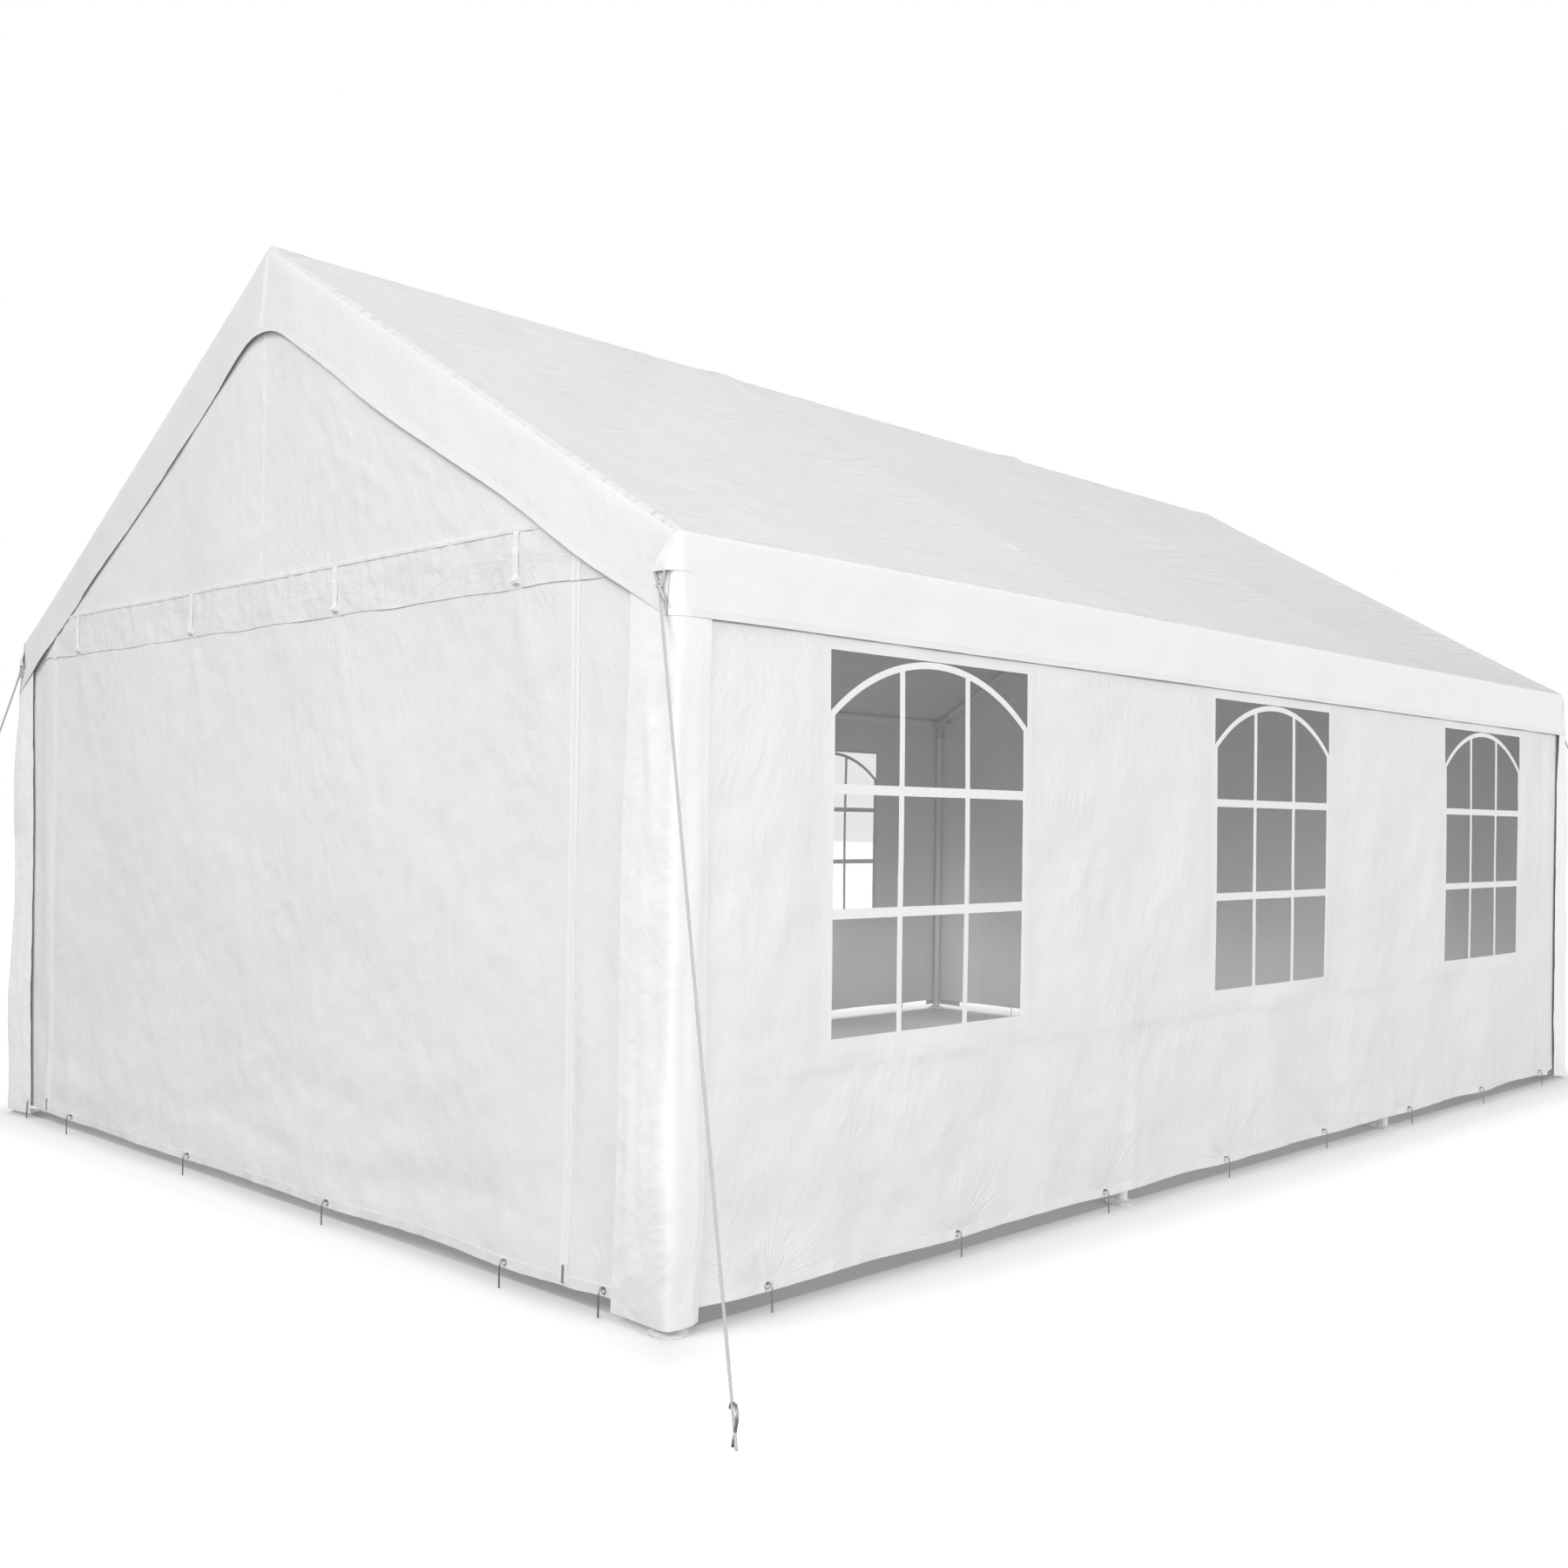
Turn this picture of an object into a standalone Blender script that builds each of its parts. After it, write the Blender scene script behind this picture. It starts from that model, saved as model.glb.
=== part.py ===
"""Marquee tent, 4 m by 6 m: a bolted steel tube frame under a white sheet canopy with hung walls.

Metres, +Z up. The origin is on the ground at the middle of the tent. The ridge runs along Y,
the gables with their roll-up doors face -Y and +Y, and the window walls face +X and -X.
"""

import math

import bmesh
import bpy
from mathutils import Matrix, Vector

# Driving dimensions of the frame
WIDTH = 4.0
LENGTH = 6.0
BAYS = 3
EAVE_Z = 1.93
PITCH = math.radians(30)
TUBE_RADIUS = 0.019
FITTING_RADIUS = 0.0225
ARM_STEP = 0.0002
ELBOW_RADIUS = 0.0216
ELBOW_OVERRUN = 0.001
FITTING_ARM = 0.10
SIDES = 12

# Foot plates
FOOT_RADIUS = 0.05
FOOT_PLATE = 0.006
FOOT_CONE_TOP = 0.014
FOOT_SOCKET_TOP = 0.045

# Cloth
CANOPY_CLOTH = 0.004
WALL_CLOTH = 0.003
FILM = 0.0015
TOUCH_GAP = 0.0003
CANOPY_OVER_FRAME = 0.0005

# Canopy edge: lower edge of the valance at the sides, and where the gable's two edges would meet
VALANCE_Z = 1.735
GABLE_PEAK_Z = 2.858
PEAK_ROUNDING = 0.17
FLARE_NEAR_EAVE = 0.0045
FLARE_AT_HEM = 0.0140
FLARE_START = 0.2

# Rows of points down a valance, and up a roof slope from the eave, each as a fraction of the way
VALANCE_DROPS = [1.0, 0.6, FLARE_START, 0.0]
SLOPE_STEPS = [0.25, 0.5, 0.75, 0.9]

# Walls
WALL_TOP_Z = 1.88
WALL_HEM_Z = 0.05
WALL_END_SHORT = 0.015
GABLE_TOP_BELOW_RAKE = 0.055
DOOR_HALF_WIDTH = 1.65
DOOR_TOP_Z = 2.01

# Windows, one to each bay
WINDOW_WIDTH = 0.878
WINDOW_BOTTOM_Z = 0.67
WINDOW_TOP_Z = 1.70
WINDOW_SHIFT = -0.05
FILM_LAP = 0.02

# Corner sleeves
SLEEVE_ON_GABLE = 0.155
SLEEVE_ON_SIDE = 0.08
SLEEVE_BOTTOM_Z = 0.02
SLEEVE_INSET = 0.0012

# Guy ropes
ROPE_RADIUS = 0.003
ROPE_TOP_Z = 1.80
ROPE_CLEARANCE = 0.0006
ROPE_END_Z = 0.003
ROPE_OUT_X = 0.65
ROPE_OUT_Y = 0.40
ROPE_SIDES = 8

# Values worked out from the ones above
HALF_WIDTH = WIDTH / 2
HALF_LENGTH = LENGTH / 2
BAY = LENGTH / BAYS
POST_LINES = [-HALF_LENGTH + BAY * i for i in range(BAYS + 1)]
RIDGE_Z = EAVE_Z + HALF_WIDTH * math.tan(PITCH)
RAFTER_LENGTH = HALF_WIDTH / math.cos(PITCH)
CANOPY_INNER = FITTING_RADIUS + CANOPY_OVER_FRAME
CANOPY_OUTER = CANOPY_INNER + CANOPY_CLOTH
WALL_INNER = FITTING_RADIUS + TOUCH_GAP
WALL_OUTER = WALL_INNER + WALL_CLOTH
SLEEVE_OUTER = CANOPY_OUTER + FLARE_AT_HEM - SLEEVE_INSET
FOLD_STEP = math.radians(30)
FOLD_REACH = 1 / math.cos(FOLD_STEP / 2)
FOLD_ANGLES = [FOLD_STEP / 2, FOLD_STEP * 1.5, FOLD_STEP * 2.5]

# Names of the sides
SIDE_NAMES = {1: "right", -1: "left"}
END_NAMES = {-1: "front", 1: "rear"}


def clear_scene():
    for item in list(bpy.data.objects):
        bpy.data.objects.remove(item, do_unlink=True)


def make_material(name, colour, roughness, metallic=0.0, transmission=0.0):
    material = bpy.data.materials.new(name)
    material.use_nodes = True
    shader = material.node_tree.nodes["Principled BSDF"]
    shader.inputs["Base Color"].default_value = (*colour, 1.0)
    shader.inputs["Roughness"].default_value = roughness
    shader.inputs["Metallic"].default_value = metallic
    shader.inputs["Transmission Weight"].default_value = transmission
    return material


def add_object(name, shape, material):
    """Turn a finished bmesh into a named object."""
    bmesh.ops.remove_doubles(shape, verts=shape.verts, dist=1e-6)
    bmesh.ops.recalc_face_normals(shape, faces=shape.faces)
    mesh = bpy.data.meshes.new(name)
    shape.to_mesh(mesh)
    shape.free()
    mesh.materials.append(material)
    item = bpy.data.objects.new(name, mesh)
    bpy.context.collection.objects.link(item)
    return item


def add_rings(shape, rings):
    """Join closed rings of points into a tube, with a cap on each end."""
    loops = [[shape.verts.new(point) for point in ring] for ring in rings]
    count = len(loops[0])
    for low, high in zip(loops, loops[1:]):
        for i in range(count):
            j = (i + 1) % count
            shape.faces.new((low[i], low[j], high[j], high[i]))
    shape.faces.new(loops[0])
    shape.faces.new(loops[-1])


def ring_points(centre, axis, across, radius, sides):
    """Points round an axis, the first of them in the direction called across."""
    upward = axis.cross(across)
    points = []
    for i in range(sides):
        turn = 2 * math.pi * i / sides
        points.append(centre + (across * math.cos(turn) + upward * math.sin(turn)) * radius)
    return points


def rod(shape, start, end, radius, across, sides=SIDES):
    axis = (end - start).normalized()
    rings = [ring_points(point, axis, across, radius, sides) for point in (start, end)]
    add_rings(shape, rings)


def slab(shape, outline, face_low, face_high, place):
    """A flat sheet: an outline in its own plane, given thickness between two levels."""
    low = [shape.verts.new(place(u, v, face_low)) for u, v in outline]
    high = [shape.verts.new(place(u, v, face_high)) for u, v in outline]
    shape.faces.new(low)
    shape.faces.new(reversed(high))
    count = len(outline)
    for i in range(count):
        j = (i + 1) % count
        shape.faces.new((low[i], low[j], high[j], high[i]))


def on_gable(end):
    """Plane of a gable: u is X, v is Z, and depth is measured out from the post line."""
    return lambda u, v, depth: Vector((u, end * (HALF_LENGTH + depth), v))


def on_side(side):
    """Plane of a long wall: u is Y, v is Z, and depth is measured out from the post line."""
    return lambda u, v, depth: Vector((side * (HALF_WIDTH + depth), u, v))


def rake_z(x):
    """Height of the rafters' axis at a distance from the ridge."""
    return RIDGE_Z - abs(x) * math.tan(PITCH)


def valance_edge_z(x):
    """Lower edge of the gable valance, rounded under the ridge."""
    reach = abs(x)
    slope = (GABLE_PEAK_Z - VALANCE_Z) / HALF_WIDTH
    if reach >= HALF_WIDTH:
        return VALANCE_Z
    if reach > PEAK_ROUNDING:
        return GABLE_PEAK_Z - slope * reach
    return GABLE_PEAK_Z - slope * (reach * reach + PEAK_ROUNDING ** 2) / (2 * PEAK_ROUNDING)


def flare(drop):
    """How far the valance stands out at a fraction of its drop."""
    if drop <= FLARE_START:
        return FLARE_NEAR_EAVE * drop / FLARE_START
    return FLARE_NEAR_EAVE + (FLARE_AT_HEM - FLARE_NEAR_EAVE) * (drop - FLARE_START) / (1 - FLARE_START)


def polar(angle, radius):
    return radius * math.cos(angle), radius * math.sin(angle)


def roof_profile(radius):
    """Points across the roof from eave to eave at a radius round the frame's axes, left to right."""
    right = [Vector((HALF_WIDTH, EAVE_Z)) + Vector(polar(angle, radius * FOLD_REACH))
             for angle in FOLD_ANGLES[:2]]
    normal = Vector((math.sin(PITCH), math.cos(PITCH)))
    for step in SLOPE_STEPS:
        reach = HALF_WIDTH * (1 - step)
        right.append(Vector((reach, rake_z(reach))) + normal * radius)
    right.append(Vector((0, RIDGE_Z)) + Vector(polar(math.pi / 2 - FOLD_ANGLES[0], radius * FOLD_REACH)))
    left = [Vector((-point.x, point.y)) for point in right]
    return left + right[::-1]


def canopy_row(radius, spread, fold_y):
    """One row of canopy points across the tent. Spread and fold_y turn it over at the gable ends."""
    right = []
    for drop in VALANCE_DROPS:
        reach = radius + flare(drop)
        right.append((HALF_WIDTH + reach * spread, reach * fold_y, EAVE_Z + (VALANCE_Z - EAVE_Z) * drop))
    left = [(-x, y, z) for x, y, z in right]
    middle = [(point.x, radius * fold_y, point.y) for point in roof_profile(radius * spread)]
    return left + middle + right[::-1]


def canopy_layer(shape, radius):
    """One skin of the canopy: roof, eave folds, gable folds and valances. Returns its free edge."""
    rows = []
    for angle in reversed(FOLD_ANGLES):
        row = canopy_row(radius, math.cos(angle) * FOLD_REACH, math.sin(angle) * FOLD_REACH)
        rows.append([(x, -HALF_LENGTH - y, z) for x, y, z in row])
    stations = [-HALF_LENGTH] + [line + BAY / 2 for line in POST_LINES[:-1]] + POST_LINES[1:]
    for line in sorted(stations):
        rows.append([(x, line, z) for x, y, z in canopy_row(radius, 1.0, 0.0)])
    for angle in FOLD_ANGLES:
        row = canopy_row(radius, math.cos(angle) * FOLD_REACH, math.sin(angle) * FOLD_REACH)
        rows.append([(x, HALF_LENGTH + y, z) for x, y, z in row])
    grid = [[shape.verts.new(point) for point in row] for row in rows]
    for near, far in zip(grid, grid[1:]):
        for i in range(len(near) - 1):
            shape.faces.new((near[i], near[i + 1], far[i + 1], far[i]))
    corner = len(VALANCE_DROPS) - 1
    edges = []
    for end, top_row in ((-1, grid[0]), (1, grid[-1])):
        edges.append(gable_valance(shape, top_row, corner, end, radius))
    right_edge = [row[-1] for row in grid]
    left_edge = [row[0] for row in grid]
    return edges[0] + right_edge[1:] + edges[1][::-1][1:] + left_edge[::-1][1:-1]


def gable_valance(shape, top_row, corner, end, radius):
    """Hang the gable valance from the folded edge, between the two corners."""
    columns = [top_row[corner::-1]]
    for top in top_row[corner + 1:len(top_row) - corner - 1]:
        column = [top]
        low_z = valance_edge_z(top.co.x)
        for drop in VALANCE_DROPS[::-1][1:]:
            y = end * (HALF_LENGTH + radius + flare(drop))
            column.append(shape.verts.new((top.co.x, y, top.co.z + (low_z - top.co.z) * drop)))
        columns.append(column)
    columns.append(top_row[len(top_row) - corner - 1:])
    for left, right in zip(columns, columns[1:]):
        for i in range(corner):
            shape.faces.new((left[i], left[i + 1], right[i + 1], right[i]))
    return [column[-1] for column in columns]


def roof_canopy(material):
    shape = bmesh.new()
    outer = canopy_layer(shape, CANOPY_OUTER)
    inner = canopy_layer(shape, CANOPY_INNER)
    count = len(outer)
    for i in range(count):
        j = (i + 1) % count
        shape.faces.new((outer[i], outer[j], inner[j], inner[i]))
    return add_object("roof_canopy", shape, material)


def gable_walls(material):
    """Each gable wall is one sheet from post to post and up to the ridge, with its doorway cut out."""
    half = HALF_WIDTH
    below = GABLE_TOP_BELOW_RAKE
    outline = [(-half, WALL_HEM_Z), (-DOOR_HALF_WIDTH, WALL_HEM_Z), (-DOOR_HALF_WIDTH, DOOR_TOP_Z),
               (DOOR_HALF_WIDTH, DOOR_TOP_Z), (DOOR_HALF_WIDTH, WALL_HEM_Z), (half, WALL_HEM_Z),
               (half, rake_z(half) - below), (0, RIDGE_Z - below), (-half, rake_z(half) - below)]
    for end, name in END_NAMES.items():
        shape = bmesh.new()
        slab(shape, outline, WALL_INNER, WALL_OUTER, on_gable(end))
        add_object(f"{name}_gable_wall", shape, material)


def door_panels(material):
    half = DOOR_HALF_WIDTH - TOUCH_GAP
    top = DOOR_TOP_Z - TOUCH_GAP
    outline = [(-half, WALL_HEM_Z), (half, WALL_HEM_Z), (half, top), (-half, top)]
    for end, name in END_NAMES.items():
        shape = bmesh.new()
        slab(shape, outline, WALL_INNER, WALL_OUTER, on_gable(end))
        add_object(f"{name}_door_panel", shape, material)


def window_centres():
    return [line + BAY / 2 + WINDOW_SHIFT for line in POST_LINES[:-1]]


def side_walls(material):
    """Each long wall is one sheet with a window cut through it in every bay."""
    end = HALF_LENGTH - WALL_END_SHORT
    uprights = [-end]
    for centre in window_centres():
        uprights += [centre - WINDOW_WIDTH / 2, centre + WINDOW_WIDTH / 2]
    uprights.append(end)
    levels = [WALL_HEM_Z, WINDOW_BOTTOM_Z, WINDOW_TOP_Z, WALL_TOP_Z]
    for side, name in SIDE_NAMES.items():
        shape = bmesh.new()
        place = on_side(side)
        grid = [[shape.verts.new(place(u, v, WALL_OUTER)) for v in levels] for u in uprights]
        for column in range(len(uprights) - 1):
            for level in range(len(levels) - 1):
                is_window = column % 2 == 1 and level == 1
                if not is_window:
                    near, far = grid[column], grid[column + 1]
                    shape.faces.new((near[level], far[level], far[level + 1], near[level + 1]))
        bmesh.ops.recalc_face_normals(shape, faces=shape.faces)
        result = bmesh.ops.extrude_face_region(shape, geom=shape.faces[:])
        moved = [part for part in result["geom"] if isinstance(part, bmesh.types.BMVert)]
        bmesh.ops.translate(shape, verts=moved, vec=(-side * WALL_CLOTH, 0, 0))
        add_object(f"{name}_side_wall", shape, material)


def window_films(material):
    """Clear film welded to the back of the wall, lapping the cut-out all round."""
    depth_high = WALL_INNER - TOUCH_GAP
    depth_low = depth_high - FILM
    half = WINDOW_WIDTH / 2 + FILM_LAP
    low, high = WINDOW_BOTTOM_Z - FILM_LAP, WINDOW_TOP_Z + FILM_LAP
    for side, name in SIDE_NAMES.items():
        for number, centre in enumerate(window_centres(), start=1):
            shape = bmesh.new()
            outline = [(centre - half, low), (centre + half, low), (centre + half, high), (centre - half, high)]
            slab(shape, outline, depth_low, depth_high, on_side(side))
            add_object(f"{name}_window_film_{number}", shape, material)


def sleeve_line(radius):
    """Plan of a corner sleeve about its post: along the gable, round the corner, along the side."""
    line = [(-SLEEVE_ON_GABLE, -radius), (0, -radius)]
    for angle in reversed(FOLD_ANGLES):
        line.append((radius * FOLD_REACH * math.cos(angle), -radius * FOLD_REACH * math.sin(angle)))
    line.append((radius, SLEEVE_ON_SIDE))
    return line


def corner_sleeves(material):
    """Legs of canopy cloth that hang over the corner posts from the valance to the foot plates."""
    outer = sleeve_line(SLEEVE_OUTER)
    inner = sleeve_line(SLEEVE_OUTER - WALL_CLOTH)
    for end, end_name in END_NAMES.items():
        for side, side_name in SIDE_NAMES.items():
            shape = bmesh.new()
            sections = []
            for edges in zip(outer, inner):
                section = []
                for across, along in edges:
                    x = HALF_WIDTH + across
                    top = valance_edge_z(x) - TOUCH_GAP
                    heights = (SLEEVE_BOTTOM_Z, top) if not section else (top, SLEEVE_BOTTOM_Z)
                    section += [Vector((side * x, end * (HALF_LENGTH - along), z)) for z in heights]
                sections.append(section)
            add_rings(shape, sections)
            add_object(f"{end_name}_{side_name}_corner_sleeve", shape, material)


def posts(material):
    """Steel posts with their foot plates, turned about their own axis."""
    top = EAVE_Z - FITTING_ARM - TOUCH_GAP
    profile = [(FOOT_RADIUS, 0), (FOOT_RADIUS, FOOT_PLATE), (FITTING_RADIUS, FOOT_CONE_TOP),
               (FITTING_RADIUS, FOOT_SOCKET_TOP), (TUBE_RADIUS, FOOT_SOCKET_TOP), (TUBE_RADIUS, top)]
    for side, name in SIDE_NAMES.items():
        for number, line in enumerate(POST_LINES, start=1):
            shape = bmesh.new()
            rings = []
            for radius, z in profile:
                centre = Vector((side * HALF_WIDTH, line, z))
                rings.append(ring_points(centre, Vector((0, 0, 1)), Vector((1, 0, 0)), radius, SIDES))
            add_rings(shape, rings)
            add_object(f"{name}_post_{number}", shape, material)


def fitting(name, centre, arms, material):
    """A tube fitting: short arms for the tubes that it joins, united round an elbow.

    Each arm runs from one point to another. Each further arm is a little slimmer than the one
    before it, so that no two of them share an edge where they cross.
    """
    pieces = []
    for i, (start, end, across) in enumerate(arms):
        shape = bmesh.new()
        rod(shape, centre + start, centre + end, FITTING_RADIUS - i * ARM_STEP, across)
        pieces.append(add_object(name if i == 0 else f"{name}_arm_{i}", shape, material))
    elbow = bmesh.new()
    bmesh.ops.create_uvsphere(elbow, u_segments=SIDES, v_segments=SIDES // 2, radius=ELBOW_RADIUS,
                              matrix=Matrix.Translation(centre))
    pieces.append(add_object(f"{name}_elbow", elbow, material))
    body = pieces[0]
    for other in pieces[1:]:
        other.hide_render = True
        other.display_type = "WIRE"
        union = body.modifiers.new("union", "BOOLEAN")
        union.operation = "UNION"
        union.object = other


def long_arm(line):
    """The arm along the tent: through the fitting, or one-sided on a gable."""
    back = Vector((0, -FITTING_ARM if line > -HALF_LENGTH else -ELBOW_OVERRUN, 0))
    ahead = Vector((0, FITTING_ARM if line < HALF_LENGTH else ELBOW_OVERRUN, 0))
    return back, ahead, Vector((1, 0, 0))


def rafter_direction(side):
    """Down the slope from the ridge towards one side."""
    return Vector((side * math.cos(PITCH), 0, -math.sin(PITCH)))


def short_arm(direction, across):
    return -direction * ELBOW_OVERRUN, direction * FITTING_ARM, across


def eave_fittings(material):
    for side, name in SIDE_NAMES.items():
        for number, line in enumerate(POST_LINES, start=1):
            centre = Vector((side * HALF_WIDTH, line, EAVE_Z))
            arms = [long_arm(line), short_arm(Vector((0, 0, -1)), Vector((1, 0, 0))),
                    short_arm(-rafter_direction(side), Vector((0, 1, 0)))]
            fitting(f"{name}_eave_fitting_{number}", centre, arms, material)


def ridge_fittings(material):
    for number, line in enumerate(POST_LINES, start=1):
        centre = Vector((0, line, RIDGE_Z))
        arms = [long_arm(line)]
        arms += [short_arm(rafter_direction(side), Vector((0, 1, 0))) for side in SIDE_NAMES]
        fitting(f"ridge_fitting_{number}", centre, arms, material)


def long_tubes(material):
    """Ridge and eave tubes, one to each bay."""
    lines = {"ridge_tube": (0, RIDGE_Z)}
    for side, name in SIDE_NAMES.items():
        lines[f"{name}_eave_tube"] = (side * HALF_WIDTH, EAVE_Z)
    inset = FITTING_ARM + TOUCH_GAP
    for name, (x, z) in lines.items():
        for number, line in enumerate(POST_LINES[:-1], start=1):
            shape = bmesh.new()
            start = Vector((x, line + inset, z))
            rod(shape, start, start + Vector((0, BAY - 2 * inset, 0)), TUBE_RADIUS, Vector((1, 0, 0)))
            add_object(f"{name}_{number}", shape, material)


def rafters(material):
    inset = FITTING_ARM + TOUCH_GAP
    for side, name in SIDE_NAMES.items():
        for number, line in enumerate(POST_LINES, start=1):
            shape = bmesh.new()
            ridge = Vector((0, line, RIDGE_Z))
            down = rafter_direction(side)
            rod(shape, ridge + down * inset, ridge + down * (RAFTER_LENGTH - inset), TUBE_RADIUS,
                Vector((0, 1, 0)))
            add_object(f"{name}_rafter_{number}", shape, material)


def guy_ropes(material):
    """Taut ropes from the canopy's corners down to the ground, one to each corner."""
    drop = (EAVE_Z - ROPE_TOP_Z) / (EAVE_Z - VALANCE_Z)
    corner = (CANOPY_OUTER + flare(drop)) * FOLD_REACH + ROPE_RADIUS + ROPE_CLEARANCE
    for end, end_name in END_NAMES.items():
        for side, side_name in SIDE_NAMES.items():
            top = Vector((side * HALF_WIDTH, end * HALF_LENGTH, ROPE_TOP_Z))
            top += Vector((side, end, 0)).normalized() * corner
            foot = Vector((side * (HALF_WIDTH + ROPE_OUT_X), end * (HALF_LENGTH + ROPE_OUT_Y), ROPE_END_Z))
            axis = (foot - top).normalized()
            across = axis.cross(Vector((side, end, 0))).normalized()
            shape = bmesh.new()
            rod(shape, top, foot, ROPE_RADIUS, across, ROPE_SIDES)
            add_object(f"{end_name}_{side_name}_guy_rope", shape, material)


def build():
    clear_scene()
    canopy_white = make_material("white canopy sheet", (0.86, 0.86, 0.87), 0.55)
    wall_white = make_material("white wall sheet", (0.88, 0.88, 0.89), 0.5)
    clear_film = make_material("clear window film", (0.80, 0.83, 0.85), 0.08, transmission=0.9)
    tube_white = make_material("white coated steel", (0.82, 0.82, 0.82), 0.35, metallic=0.1)
    fitting_grey = make_material("galvanised fitting", (0.62, 0.63, 0.64), 0.4, metallic=0.8)
    rope_grey = make_material("light grey rope", (0.72, 0.72, 0.72), 0.8)
    roof_canopy(canopy_white)
    gable_walls(wall_white)
    door_panels(wall_white)
    side_walls(wall_white)
    window_films(clear_film)
    corner_sleeves(canopy_white)
    posts(tube_white)
    eave_fittings(fitting_grey)
    ridge_fittings(fitting_grey)
    long_tubes(tube_white)
    rafters(tube_white)
    guy_ropes(rope_grey)


build()
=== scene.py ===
"""Looks of the marquee tent: its sheets, windows, seams, zips, pegs and ropes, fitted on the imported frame.

Metres, in the frame's own axes: +Z up and the ridge along Y. Right is +X and front is -Y.
"""

import math
from functools import partial

import bmesh
import bpy
import numpy as np
from mathutils import Matrix, Vector


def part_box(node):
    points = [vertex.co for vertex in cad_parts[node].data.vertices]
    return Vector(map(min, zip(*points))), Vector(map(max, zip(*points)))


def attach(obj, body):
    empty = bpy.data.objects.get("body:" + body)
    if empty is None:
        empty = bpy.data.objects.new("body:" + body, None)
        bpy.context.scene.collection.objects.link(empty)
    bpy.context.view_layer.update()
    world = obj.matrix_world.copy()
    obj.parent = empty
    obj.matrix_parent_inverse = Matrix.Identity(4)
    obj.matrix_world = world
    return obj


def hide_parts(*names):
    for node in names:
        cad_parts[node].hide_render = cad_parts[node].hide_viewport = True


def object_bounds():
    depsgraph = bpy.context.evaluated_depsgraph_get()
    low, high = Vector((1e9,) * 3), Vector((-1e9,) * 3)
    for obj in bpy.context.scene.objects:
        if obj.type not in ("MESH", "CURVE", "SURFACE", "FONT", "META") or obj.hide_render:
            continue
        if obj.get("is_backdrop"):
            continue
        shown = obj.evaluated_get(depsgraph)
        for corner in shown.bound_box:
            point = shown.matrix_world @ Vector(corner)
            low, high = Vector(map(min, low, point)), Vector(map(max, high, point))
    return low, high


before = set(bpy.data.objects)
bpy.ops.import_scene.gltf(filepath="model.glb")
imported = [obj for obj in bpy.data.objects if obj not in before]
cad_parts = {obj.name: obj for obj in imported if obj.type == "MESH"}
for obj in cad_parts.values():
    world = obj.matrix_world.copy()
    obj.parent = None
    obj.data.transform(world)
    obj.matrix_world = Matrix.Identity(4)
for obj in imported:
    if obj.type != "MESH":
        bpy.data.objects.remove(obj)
CAD_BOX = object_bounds()


def middle(node):
    """The middle of a node's box."""
    low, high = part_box(node)
    return (Vector(low) + Vector(high)) / 2


# Sizes read from the frame
BAYS = 3
POST_LINES = [middle(f"right_post_{number}").y for number in range(1, BAYS + 2)]
BAY = POST_LINES[1] - POST_LINES[0]
HALF_LENGTH = POST_LINES[-1]
HALF_WIDTH = middle("right_post_1").x
EAVE_Z = middle("right_eave_tube_1").z
RIDGE_Z = middle("ridge_tube_1").z
PITCH = math.atan((RIDGE_Z - EAVE_Z) / HALF_WIDTH)
RAFTER = HALF_WIDTH / math.cos(PITCH)
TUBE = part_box("ridge_tube_1")[1].z - RIDGE_Z
VALANCE_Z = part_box("roof_canopy")[0].z
WALL_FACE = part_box("right_side_wall")[1].x - HALF_WIDTH
WALL_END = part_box("right_side_wall")[1].y
WALL_HEM_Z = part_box("right_side_wall")[0].z
WALL_TOP_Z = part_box("right_side_wall")[1].z
DOOR_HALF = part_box("front_door_panel")[1].x
SLEEVE_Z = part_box("front_right_corner_sleeve")[0].z
ROPE_LOW, ROPE_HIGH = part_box("front_right_guy_rope")

# Frame details that the boxes don't give
FITTING = 0.0225
FITTING_ARM = 0.10
FILM_LAP = 0.02
GABLE_PEAK_Z = 2.858
PEAK_ROUNDING = 0.17
GABLE_TOP_Z = RIDGE_Z - 0.055
GABLE_JOINT_Z = 1.875

# Trim on the walls. Places along a gable are as seen from outside the front one.
SEAM_Z = 0.585
SEAM_HALF = 0.004
SIDE_PEGS = np.linspace(-2.70, 2.70, 8)
GABLE_PEGS = np.array([-1.85, -1.41, -0.43, 0.50, 1.41, 1.79])
PEG_EYE_Z = 0.066
BELT_LOW, BELT_HIGH = 1.855, 2.010
TOGGLE_X = np.array([-1.425, -0.475, 0.475, 1.400])
ZIP_FOOT_Z, ZIP_TOP_Z = 0.062, 1.992

# Cloth: its thickness, how deep trim is sunk into it, its distance from the tubes' middle, and mesh sizes
CLOTH = 0.0008
SUNK = -0.0004
CANOPY_REACH = 0.0238
STEP = 0.027
WALL_STEP = 0.0225
SIDES = {1: "right", -1: "left"}
ENDS = {-1: "front", 1: "rear"}


# Soft waves, creases and folds over a flat sheet

def ripples(seed, length, stretch=(1.0, 1.0), count=22):
    """Soft random waves of about the length given. Their spread is 1, and they are the same each run."""
    draw = np.random.default_rng(seed)
    turn = draw.uniform(0, 2 * math.pi, count)
    size = 2 * math.pi / length * draw.uniform(0.6, 1.5, count)
    across = size * np.cos(turn) / stretch[0]
    upward = size * np.sin(turn) / stretch[1]
    phase = draw.uniform(0, 2 * math.pi, count)

    def height(u, v):
        total = sum(np.cos(a * u + b * v + c) for a, b, c in zip(across, upward, phase))
        return total * math.sqrt(2 / count)
    return height


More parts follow.
